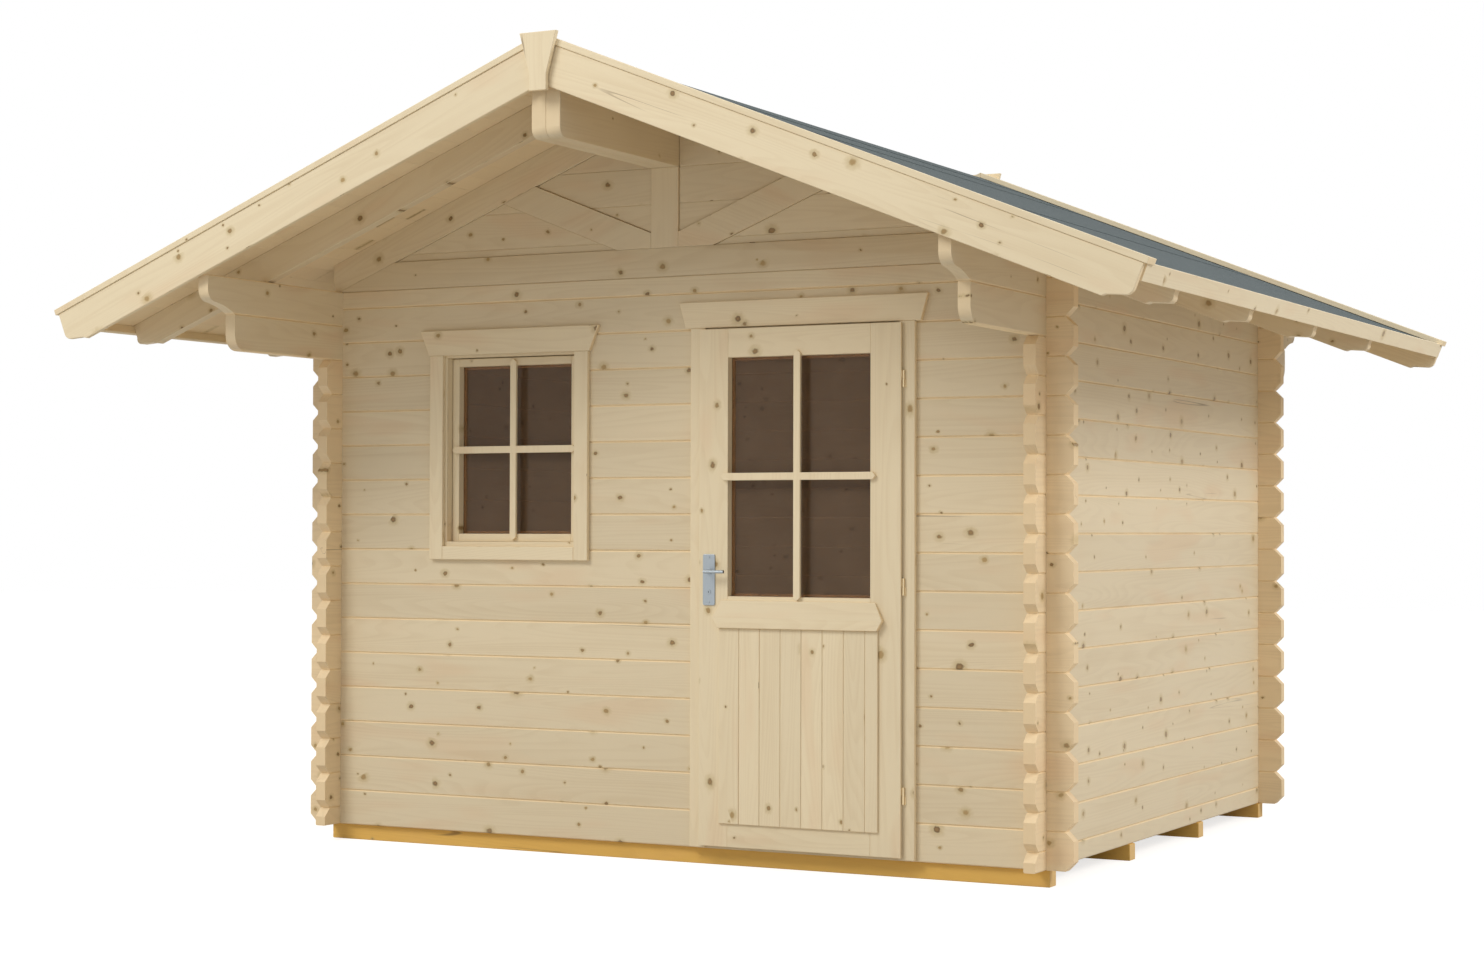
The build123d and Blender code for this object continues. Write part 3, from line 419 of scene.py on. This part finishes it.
def steel_material(name, tint, roughness):
    """Satin steel with faint brushing."""
    material, tree, shader = start_material(name)
    place = node(tree, "ShaderNodeTexCoord").outputs["Object"]
    brushed = stretched_noise(tree, place, (900.0, 900.0, 40.0), 2.0)
    shader.inputs["Metallic"].default_value = 1.0
    shade = tuple(0.8 * channel for channel in tint[:3]) + (1,)
    tree.links.new(blend_colour(tree, brushed, tint, shade), shader.inputs["Base Color"])
    tree.links.new(between(tree, brushed, 0.2, 0.8, roughness, roughness + 0.12),
                   shader.inputs["Roughness"])
    return material


def glass_material():
    """Thin panes with a warm brown colour painted in: painted shade of the dim room behind them, over
    their transmission, with a faint waviness.
    """
    material, tree, shader = start_material("glass_painted_room_shade")
    place = node(tree, "ShaderNodeTexCoord").outputs["Object"]
    room_shade_mottle = node(tree, "ShaderNodeTexNoise", {"Vector": place, "Scale": 9.0, "Detail": 4.0})
    # Painted shade: a mottled brown that stands for the dim room seen through the glass
    colour = blend_colour(tree, between(tree, room_shade_mottle.outputs["Fac"], 0.35, 0.7),
                          (0.50, 0.35, 0.22, 1), (0.54, 0.385, 0.25, 1))
    tree.links.new(colour, shader.inputs["Base Color"])
    shader.inputs["Transmission Weight"].default_value = 0.85
    shader.inputs["Roughness"].default_value = 0.02
    shader.inputs["IOR"].default_value = 1.25
    wave = node(tree, "ShaderNodeTexNoise", {"Vector": place, "Scale": 3.5, "Detail": 1.0})
    join_bump(tree, shader, wave.outputs["Fac"], 0.06, 0.004)
    return material


FELT = felt_material()
STEEL = steel_material("satin_steel", (0.36, 0.40, 0.43, 1), 0.42)
ZINC = steel_material("yellow_zinc", (0.74, 0.60, 0.38, 1), 0.42)
# A near-black slab at the keyhole: painted shadow of the hole
KEYHOLE_PAINTED_SHADOW = steel_material("keyhole_painted_shadow", (0.03, 0.03, 0.03, 1), 0.6)
GLASS = glass_material()


def dress(name, material):
    """Give a CAD node its finish."""
    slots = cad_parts[name].material_slots
    for slot in slots:
        slot.material = material
    if not len(slots):
        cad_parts[name].data.materials.append(material)


# Modelling helpers
SHARP = radians(28)            # edges that turn more than this get an arris
FLAT = radians(0.5)            # faces that turn less than this become one
CUT_TOLERANCE = 0.000001


def merged(name):
    """A welded copy of a node's mesh, its flat faces made whole."""
    work = bmesh.new()
    work.from_mesh(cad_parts[name].data)
    bmesh.ops.remove_doubles(work, verts=work.verts, dist=0.00005)
    bmesh.ops.dissolve_limit(work, angle_limit=FLAT, verts=work.verts, edges=work.edges)
    for face in work.faces:
        face.material_index = 0
    return work


def soften(work, edges, arris, segments=2):
    """Round the given edges."""
    bmesh.ops.bevel(work, geom=list(edges), offset=arris, offset_type="OFFSET", segments=segments,
                    profile=0.5, affect="EDGES", clamp_overlap=False, material=-1)


def sharp_edges(work):
    """The edges where two faces meet at a corner."""
    return [edge for edge in work.edges
            if len(edge.link_faces) == 2 and edge.calc_face_angle(0.0) > SHARP]


def cut(work, place, normal, clear_outer=False):
    """Cut the whole mesh along a plane, and take away what lies beyond it if asked."""
    everything = work.verts[:] + work.edges[:] + work.faces[:]
    bmesh.ops.bisect_plane(work, geom=everything, dist=CUT_TOLERANCE, plane_co=place, plane_no=normal,
                           clear_outer=clear_outer)


def finished(name, work, materials, body, replaced):
    """Make the mesh an object that rides on its body and stands for its CAD nodes."""
    bmesh.ops.recalc_face_normals(work, faces=work.faces)
    mesh = bpy.data.meshes.new(name)
    work.to_mesh(mesh)
    work.free()
    for material in materials:
        mesh.materials.append(material)
    piece = bpy.data.objects.new(name, mesh)
    bpy.context.scene.collection.objects.link(piece)
    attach(piece, body)
    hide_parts(*replaced)


def softened(name, replaced, materials, arris, body="cabin", grain=None):
    """The node's own shape with its arrises planed off; grain picks a material by a face's place."""
    work = merged(replaced)
    if grain:
        for face in work.faces:
            face.material_index = grain(face.calc_center_median())
    soften(work, sharp_edges(work), arris)
    finished(name, work, materials, body, [replaced])


def sawn(name, replaced, direction, marks, material, arris):
    """The node's shape sawn into boards by planes across the direction, each with planed arrises."""
    stock = bpy.data.meshes.new(f"{name}_stock")
    whole = merged(replaced)
    whole.to_mesh(stock)
    whole.free()
    direction = Vector(direction).normalized()
    boards = bmesh.new()
    for low, high in zip(marks, marks[1:]):
        board = bmesh.new()
        board.from_mesh(stock)
        for mark, side in ((low, -1.0), (high, 1.0)):
            cut(board, direction * mark, direction * side, clear_outer=True)
            rim = [edge for edge in board.edges if edge.is_boundary]
            if rim:
                bmesh.ops.holes_fill(board, edges=rim, sides=0)
        if board.faces:
            bmesh.ops.recalc_face_normals(board, faces=board.faces)
            soften(board, sharp_edges(board), arris, segments=1)
            part = bpy.data.meshes.new(f"{name}_board")
            board.to_mesh(part)
            boards.from_mesh(part)
            bpy.data.meshes.remove(part)
        board.free()
    bpy.data.meshes.remove(stock)
    finished(name, boards, [material], "cabin", [replaced])


def even_marks(low, high, pitch):
    """Joints at the pitch from low, with the first and last mark well outside the stock."""
    count = int((high - low) / pitch)
    return [low - 1.0] + [low + pitch * (i + 1) for i in range(count)] + [high + 1.0]


def block(work, low, high):
    """A square block between two corners; gives its vertices."""
    corners = bmesh.ops.create_cube(work, size=1.0)["verts"]
    bmesh.ops.scale(work, vec=Vector(high) - Vector(low), verts=corners)
    bmesh.ops.translate(work, vec=(Vector(low) + Vector(high)) / 2, verts=corners)
    return corners


def edges_of(corners):
    """The edges that meet at the vertices."""
    return {edge for corner in corners for edge in corner.link_edges}


def pulled_out(work, faces, step, keep_original=False):
    """Extrude the faces by a step."""
    pulled = bmesh.ops.extrude_face_region(work, geom=faces, use_keep_orig=keep_original)["geom"]
    if not keep_original:
        bmesh.ops.delete(work, geom=faces, context="FACES_ONLY")
    moved = [item for item in pulled if isinstance(item, bmesh.types.BMVert)]
    bmesh.ops.translate(work, vec=step, verts=moved)


def member(work, low, high, slot=0, arris=0.0015):
    """A planed length of wood with rounded arrises."""
    corners = block(work, low, high)
    for face in {face for corner in corners for face in corner.link_faces}:
        face.material_index = slot
    soften(work, edges_of(corners), arris)


def rebated_member(work, lip, body, depths, slot, arris=0.0015):
    """A member of the leaf: its front lip, and its smaller body behind, as one piece.

    Lip and body each have a low and a high (x, z) corner. Depths are the y of the lip's front, of
    the lip's back and of the body's back.
    """
    (lip_x0, lip_z0), (lip_x1, lip_z1) = lip
    (body_x0, body_z0), (body_x1, body_z1) = body
    lip_front, lip_back, body_back = depths
    part = bmesh.new()
    block(part, (lip_x0, lip_front, lip_z0), (lip_x1, lip_back, lip_z1))
    for place in (body_x0, body_x1):
        cut(part, (place, 0, 0), (1, 0, 0))
    for place in (body_z0, body_z1):
        cut(part, (0, 0, place), (0, 0, 1))
    behind = []
    for face in part.faces:
        x, y, z = face.calc_center_median()
        if y > lip_back - 0.0001 and body_x0 < x < body_x1 and body_z0 < z < body_z1:
            behind.append(face)
    pulled_out(part, behind, (0, body_back - lip_back, 0))
    bmesh.ops.dissolve_limit(part, angle_limit=FLAT, verts=part.verts, edges=part.edges)
    bmesh.ops.recalc_face_normals(part, faces=part.faces)
    for face in part.faces:
        face.material_index = slot
    soften(part, sharp_edges(part), arris)
    mesh = bpy.data.meshes.new("leaf_member")
    part.to_mesh(mesh)
    part.free()
    work.from_mesh(mesh)
    bpy.data.meshes.remove(mesh)


def disc(work, centre, radius, thickness):
    """A short round boss whose axis runs through the door."""
    matrix = Matrix.Translation(centre) @ Matrix.Rotation(pi / 2, 4, "X")
    corners = bmesh.ops.create_cone(work, cap_ends=True, segments=28, radius1=radius, radius2=radius,
                                    depth=thickness, matrix=matrix)["verts"]
    rims = [edge for edge in edges_of(corners) if edge.calc_face_angle(0.0) > radians(60)]
    soften(work, rims, 0.0004)


# Logs keep the CAD's own shape
dress("front_wall_left", log_material("front_logs_left", "x", WALL_FOOT, 1))
dress("front_wall_right", log_material("front_logs_right", "x", WALL_FOOT, 2))
dress("front_wall_over_door", log_material("front_logs_top", "x", WALL_FOOT, 3))
dress("rear_wall", log_material("rear_logs", "x", WALL_FOOT, 4))
dress("left_wall", log_material("left_logs", "y", SIDE_FIRST_JOINT, 5))
dress("right_wall", log_material("right_logs", "y", SIDE_FIRST_JOINT, 6))
for name in ("window_glass", "door_glass"):
    dress(name, GLASS)
dress("door_lever", STEEL)
for name in ("frame_hinges", "leaf_hinges"):
    dress(name, ZINC)

# Base and floor
BEAM_WOOD = board_material("treated_beams", "x", 1, TREATED, knots=0.25)
softened("treated_base_beams", "base_beams", [BEAM_WOOD], arris=0.003)
floor_low, floor_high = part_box("floor")
sawn("floor_planks", "floor", (1, 0, 0),
     even_marks(floor_low[0], floor_high[0] - NARROWEST_FLOOR_BOARD, FLOOR_BOARD),
     board_material("floor_boards", "flat y", 2), arris=0.0012)

# Gables
GABLE_TIMBERS = [
    board_material("gable_timber", "slope", 3, PALE),
    board_material("gable_tie", "x", 4, PALE),
    board_material("gable_post", "z", 5, PALE),
]
GABLE_INFILL = board_material("gable_infill", "x", 6, PALE)
TIE_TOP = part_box("front_gable_boards")[0][2]
GABLE_TOP = WALL_TOP + GABLE_COURSES * LOG_HEIGHT + 0.001


def gable_grain(centre):
    """Which of the gable's timbers a face belongs to: the rafters, the tie or the king post."""
    if centre.z < TIE_TOP:
        return 1
    return 2 if abs(centre.x) < KING_POST_HALF else 0


BARGE = board_material("bargeboard_wood", "slope", 7, knots=0.28)
CAP = board_material("cap_strip_wood", "slope", 8, knots=0.1)
for end in ("front", "rear"):
    softened(f"{end}_gable_timbers", f"{end}_gable_frame", GABLE_TIMBERS, arris=0.0018,
             grain=gable_grain)
    sawn(f"{end}_gable_planks", f"{end}_gable_boards", (0, 0, 1),
         even_marks(WALL_TOP, GABLE_TOP, LOG_HEIGHT), GABLE_INFILL, arris=0.0025)
    softened(f"{end}_barge_planks", f"{end}_bargeboards", [BARGE], arris=0.0025)
    softened(f"{end}_cap_slats", f"{end}_cap_strips", [CAP], arris=0.0018)
softened("ridge_finials", "finials", [board_material("finial_wood", "z", 9, knots=0.05)], arris=0.002)

# Roof
softened("purlin_beam", "ridge_purlin", [board_material("purlin_wood", "y", 10, PALE)], arris=0.0025)
softened("rafter_planks", "rafters", [board_material("rafter_wood", "slope", 11, PALE)], arris=0.002)
softened("eave_slats", "eave_boards", [board_material("eave_wood", "y", 12)], arris=0.0015)
for side, sign, seed_number in (("left", -1.0, 12), ("right", 1.0, 14)):
    low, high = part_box(f"roof_boards_{side}")
    top = abs(low[0] if sign > 0 else high[0]) * cos(ROOF_PITCH) - high[2] * sin(ROOF_PITCH)
    foot = abs(high[0] if sign > 0 else low[0]) * cos(ROOF_PITCH) - low[2] * sin(ROOF_PITCH)
    sawn(f"roof_planks_{side}", f"roof_boards_{side}", (sign * cos(ROOF_PITCH), 0, -sin(ROOF_PITCH)),
         even_marks(top, foot - NARROWEST_ROOF_BOARD, ROOF_BOARD),
         board_material(f"roof_plank_wood_{side}", "roof y", seed_number, knots=0.35), arris=0.0009)

# Felt: three courses a side, each lapped over the one below, and a strip along the ridge
FELT_PLY = 0.0018
FELT_COURSE = 0.86
FELT_LAP = 0.09
LAP_FLAT, LAP_END = 0.08, 0.12  # a course's foot lies on the one below, then steps down to the boards
RIDGE_STRIP = 0.24
RIDGE_GAP = 0.002


def felt_side(side, sign):
    """The felt of one side of the ridge, each sheet drawn in section and run front to back.

    A section's points are the way down the slope from the ridge, and the rise off it.
    """
    low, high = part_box(f"roof_felt_{side}")
    inner = 0.0003
    outer = max(abs(low[0]), abs(high[0]))
    length = (outer - inner) / cos(ROOF_PITCH)
    middle_foot, top_foot = length - FELT_COURSE, length - 2 * FELT_COURSE
    sheets = [[
        (length, -FELT_PLY), (length, -2 * FELT_PLY), (middle_foot - FELT_LAP, -2 * FELT_PLY),
        (middle_foot - FELT_LAP, -FELT_PLY),
    ]]
    for foot, head in ((middle_foot, top_foot - FELT_LAP), (top_foot, 2 * RIDGE_GAP)):
        sheets.append([
            (foot, 0.0), (foot, -FELT_PLY), (foot - LAP_FLAT, -FELT_PLY), (foot - LAP_END, -2 * FELT_PLY),
            (head, -2 * FELT_PLY), (head, -FELT_PLY), (foot - LAP_END, -FELT_PLY), (foot - LAP_FLAT, 0.0),
        ])
    sheets.append([(RIDGE_STRIP, 0.0), (RIDGE_STRIP, -FELT_PLY), (RIDGE_GAP, -FELT_PLY), (RIDGE_GAP, 0.0)])
    work = bmesh.new()
    for sheet in sheets:
        corners = []
        for along, rise in sheet:
            x = sign * (inner + along * cos(ROOF_PITCH) + rise * sin(ROOF_PITCH))
            z = high[2] - along * sin(ROOF_PITCH) + rise * cos(ROOF_PITCH)
            corners.append(work.verts.new((x, low[1], z)))
        pulled_out(work, [work.faces.new(corners)], (0, high[1] - low[1], 0), keep_original=True)
    finished(f"felt_courses_{side}", work, [FELT], "cabin", [f"roof_felt_{side}"])


felt_side("left", -1.0)
felt_side("right", 1.0)

# Window and door joinery: slot 0 has upright grain, slot 1 runs across
JOINERY = [
    board_material("joinery_upright", "z", 15, knots=0.2),
    board_material("joinery_across", "x", 16, knots=0.2),
]
BEAD = 0.010
BEAD_RECESS = 0.001
PANE_GAP = 0.0003
SASH_GAP = 0.0002


def four_members(work, low, high, uprights, foot, head, uprights_run_through=True, arris=0.0015):
    """Two uprights and two cross members round an opening, each as wide as given."""
    (x0, y0, z0), (x1, y1, z1) = low, high
    if uprights_run_through:
        (z_low, z_high), (x_low, x_high) = (z0, z1), (x0 + uprights, x1 - uprights)
    else:
        (z_low, z_high), (x_low, x_high) = (z0 + foot, z1 - head), (x0, x1)
    member(work, (x0, y0, z_low), (x0 + uprights, y1, z_high), 0, arris)
    member(work, (x1 - uprights, y0, z_low), (x1, y1, z_high), 0, arris)
    member(work, (x_low, y0, z0), (x_high, y1, z0 + foot), 1, arris)
    member(work, (x_low, y0, z1 - head), (x_high, y1, z1), 1, arris)


work = bmesh.new()
four_members(work, *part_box("window_frame"), uprights=0.031, foot=0.0307, head=0.031,
             uprights_run_through=False)
finished("window_frame_members", work, JOINERY, "cabin", ["window_frame"])

work = bmesh.new()
four_members(work, *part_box("window_sash"), uprights=0.030, foot=0.030, head=0.030, arris=0.002)
pane_low, pane_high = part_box("window_glass")
sash_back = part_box("window_sash")[1][1]
four_members(work, (pane_low[0] - SASH_GAP, pane_high[1] + PANE_GAP, pane_low[2] - SASH_GAP),
             (pane_high[0] + SASH_GAP, sash_back - BEAD_RECESS, pane_high[2] + SASH_GAP),
             uprights=BEAD, foot=BEAD, head=BEAD, arris=0.002)
finished("window_sash_members", work, JOINERY, "cabin", ["window_sash"])

work = bmesh.new()
four_members(work, *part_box("door_frame"), uprights=0.035, foot=0.0277, head=0.035)
finished("door_frame_members", work, JOINERY, "cabin", ["door_frame"])

# Door leaf: two stiles, three rails, a boarded foot and glazing beads at the back
LIP_WIDTH = 0.0202
LIP_DEPTH = 0.011
RAIL_ABOVE_PANEL_FOOT = 0.02
BACK_BOARDS = 8
leaf_low, leaf_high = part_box("door_leaf")
pane_low, pane_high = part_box("door_glass")
leaf_depths = (leaf_low[1], leaf_low[1] + LIP_DEPTH, leaf_high[1])
body_low = (leaf_low[0] + LIP_WIDTH, leaf_low[2] + LIP_WIDTH)
body_high = (leaf_high[0] - LIP_WIDTH, leaf_high[2] - LIP_WIDTH)
x_left, x_right = pane_low[0] - PANE_GAP, pane_high[0] + PANE_GAP
z_rail, z_top = pane_low[2] - PANE_GAP, pane_high[2] + PANE_GAP
panel_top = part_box("door_panel_boards")[1][2]
bottom_rail_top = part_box("door_panel_boards")[0][2] + RAIL_ABOVE_PANEL_FOOT
work = bmesh.new()
for lip_low, lip_high, slot in (
    ((leaf_low[0], leaf_low[2]), (x_left, leaf_high[2]), 0),
    ((x_right, leaf_low[2]), (leaf_high[0], leaf_high[2]), 0),
    ((x_left, z_top), (x_right, leaf_high[2]), 1),
    ((x_left, leaf_low[2]), (x_right, bottom_rail_top), 1),
):
    behind_lip = ((max(lip_low[0], body_low[0]), max(lip_low[1], body_low[1])),
                  (min(lip_high[0], body_high[0]), min(lip_high[1], body_high[1])))
    rebated_member(work, (lip_low, lip_high), behind_lip, leaf_depths, slot)
member(work, (x_left, leaf_low[1], panel_top), (x_right, leaf_high[1], z_rail), 1)
board_width = (x_right - x_left) / BACK_BOARDS
for i in range(BACK_BOARDS):
    member(work, (x_left + i * board_width, leaf_low[1] + 0.003, bottom_rail_top),
           (x_left + (i + 1) * board_width, leaf_high[1] - 0.006, panel_top), arris=0.0025)
four_members(work, (x_left, pane_high[1] + PANE_GAP, z_rail), (x_right, leaf_high[1] - BEAD_RECESS, z_top),
             uprights=BEAD, foot=BEAD, head=BEAD, arris=0.002)
finished("door_stiles_and_rails", work, JOINERY, "door", ["door_leaf"])

softened("door_panel_planks", "door_panel_boards", [board_material("door_panel_wood", "z", 17, knots=0.2)],
         arris=0.0026, body="door")
softened("drip_board_planed", "door_drip_board", [board_material("drip_board_wood", "x", 18, knots=0.05)],
         arris=0.0025, body="door")

# Glazing bars: one upright down the middle, the others across
BAR_HALF = 0.0137
BAR_WOOD = [
    board_material("bar_upright", "z", 19, knots=0.0),
    board_material("bar_across", "x", 20, knots=0.0),
]


def bar_grain(name):
    """Tells the middle upright's faces from those of the bars across it."""
    low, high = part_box(name)
    middle = (low[0] + high[0]) / 2
    return lambda centre: 0 if abs(centre.x - middle) < BAR_HALF else 1


softened("door_bars_planed", "door_bars", BAR_WOOD, arris=0.0015, body="door",
         grain=bar_grain("door_bars"))
softened("window_bars_planed", "window_bars", BAR_WOOD, arris=0.0015,
         grain=bar_grain("window_bars"))

# Casings
WINDOW_FOOT_BOARD = 0.051
CASING = [
    board_material("casing_upright", "z", 21, knots=0.22),
    board_material("casing_across", "x", 22, knots=0.22),
]
foot_board_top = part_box("window_casings")[0][2] + WINDOW_FOOT_BOARD
softened("door_casing_boards", "door_casings", CASING, arris=0.0025)
softened("window_casing_boards", "window_casings", CASING, arris=0.0025,
         grain=lambda centre: 1 if centre.z < foot_board_top - 0.0001 else 0)
for opening in ("door", "window"):
    softened(f"{opening}_head_board", f"{opening}_head_casing", CASING, arris=0.0025,
             grain=lambda centre: 1)

# Handle plates: rounded plate, two screws, a collar round the lever, and at the keyhole a near-black slab
# as painted shadow of the hole, on both faces
PLATE_THICKNESS = 0.004
BOSS_THICKNESS = 0.0018
SCREW_INSET, SCREW_RADIUS = 0.011, 0.0033
COLLAR_HEIGHT, COLLAR_RADIUS = 1.067, 0.0105
LOCK_HEIGHT, LOCK_RADIUS = 0.993, 0.0085
KEYHOLE_HALF = Vector((0.0011, 0.0003, 0.0035))
plate_low, plate_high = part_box("door_handle_plates")
plate_middle = (plate_low[0] + plate_high[0]) / 2
bosses = (
    (plate_high[2] - SCREW_INSET, SCREW_RADIUS), (plate_low[2] + SCREW_INSET, SCREW_RADIUS),
    (COLLAR_HEIGHT, COLLAR_RADIUS), (LOCK_HEIGHT, LOCK_RADIUS),
)
work = bmesh.new()
for front, back, face_y, outward in (
    (plate_low[1], plate_low[1] + PLATE_THICKNESS, plate_low[1], -1.0),
    (plate_high[1] - PLATE_THICKNESS, plate_high[1], plate_high[1], 1.0),
):
    corners = block(work, (plate_low[0], front, plate_low[2]), (plate_high[0], back, plate_high[2]))
    corner_edges = [edge for edge in edges_of(corners)
                    if abs((edge.verts[0].co - edge.verts[1].co).y) > 0.003]
    soften(work, corner_edges, 0.006, segments=6)
    rim = [edge for edge in work.edges if all(abs(vert.co.y - face_y) < 1e-6 for vert in edge.verts)]
    soften(work, rim, 0.0012)
    for height, radius in bosses:
        disc(work, (plate_middle, face_y + outward * 0.0008, height), radius, BOSS_THICKNESS)
    # Painted shadow: a near-black slab stands where the keyhole's hole would be
    keyhole = Vector((plate_middle, face_y + outward * 0.0016, LOCK_HEIGHT))
    member(work, keyhole - KEYHOLE_HALF, keyhole + KEYHOLE_HALF, 1, arris=0.0001)
finished("handle_plates_with_screws", work, [STEEL, KEYHOLE_PAINTED_SHADOW], "door", ["door_handle_plates"])

# Floor, light and camera
FLOOR_SIZE = 30.0
FLOOR_GLOW = 0.72              # as the camera and gloss see it, so that it reads white
ROOM_LIGHT = 0.53


def floor_paint():
    """A pale matt floor that keeps the cabin's shadow."""
    material, tree, shader = start_material("studio_floor_paint")
    shader.inputs["Base Color"].default_value = (0.55, 0.53, 0.50, 1)
    shader.inputs["Roughness"].default_value = 0.9
    shader.inputs["Emission Color"].default_value = (1, 1, 1, 1)
    path = node(tree, "ShaderNodeLightPath")
    seen = maths(tree, "ADD", path.outputs["Is Camera Ray"], path.outputs["Is Glossy Ray"], clamp=True)
    tree.links.new(maths(tree, "MULTIPLY", seen, FLOOR_GLOW), shader.inputs["Emission Strength"])
    return material


def floor_plane():
    """The level floor that the cabin stands on."""
    work = bmesh.new()
    bmesh.ops.create_grid(work, x_segments=1, y_segments=1, size=FLOOR_SIZE)
    mesh = bpy.data.meshes.new("studio_floor")
    work.to_mesh(mesh)
    work.free()
    plane = bpy.data.objects.new("studio_floor", mesh)
    bpy.context.scene.collection.objects.link(plane)
    mesh.materials.append(floor_paint())


def studio_light():
    """Plain soft light: a white room, a large lamp before the cabin and one at its right."""
    world = bpy.data.worlds.new("studio")
    bpy.context.scene.world = world
    world.use_nodes = True
    tree = world.node_tree
    background = tree.nodes["Background"]
    path = node(tree, "ShaderNodeLightPath")
    in_gloss = maths(tree, "ADD", path.outputs["Is Glossy Ray"], path.outputs["Is Transmission Ray"])
    seen = maths(tree, "ADD", path.outputs["Is Camera Ray"], in_gloss, clamp=True)
    background.inputs["Color"].default_value = (1, 1, 1, 1)
    tree.links.new(blend_value(tree, seen, ROOM_LIGHT, 1.0), background.inputs["Strength"])
    lamps = (
        ("key", (-5.0, -9.5, 10.0), (0.0, 0.0, 1.2), 5.0, 800.0, (1.0, 0.985, 0.955)),
        ("fill", (10.5, 0.5, 7.5), (1.0, 0.0, 1.2), 4.0, 490.0, (0.99, 0.985, 1.0)),
    )
    for name, place, target, size, power, colour in lamps:
        data = bpy.data.lights.new(name, "AREA")
        data.size = size
        data.energy = power
        data.color = colour
        lamp = bpy.data.objects.new(name, data)
        lamp.location = place
        lamp.rotation_euler = (Vector(target) - Vector(place)).to_track_quat("-Z", "Y").to_euler()
        bpy.context.scene.collection.objects.link(lamp)


def photo_camera():
    """The photograph's own view, solved from the walls' edges."""
    focal_pixels, photo_width = 2603.676, 1484
    pitch, roll, heading = 1.153, -0.128, 27.723
    data = bpy.data.cameras.new("photo_view")
    data.sensor_width = 36.0
    data.lens = focal_pixels * data.sensor_width / photo_width
    data.clip_end = 200.0
    camera = bpy.data.objects.new("photo_view", data)
    camera.location = (4.717621, -9.476524, 1.221887)
    camera.rotation_euler = (radians(90 + pitch), radians(roll), radians(heading))
    bpy.context.scene.collection.objects.link(camera)
    bpy.context.scene.camera = camera


floor_plane()
studio_light()
photo_camera()
bpy.context.scene.view_settings.view_transform = "Standard"
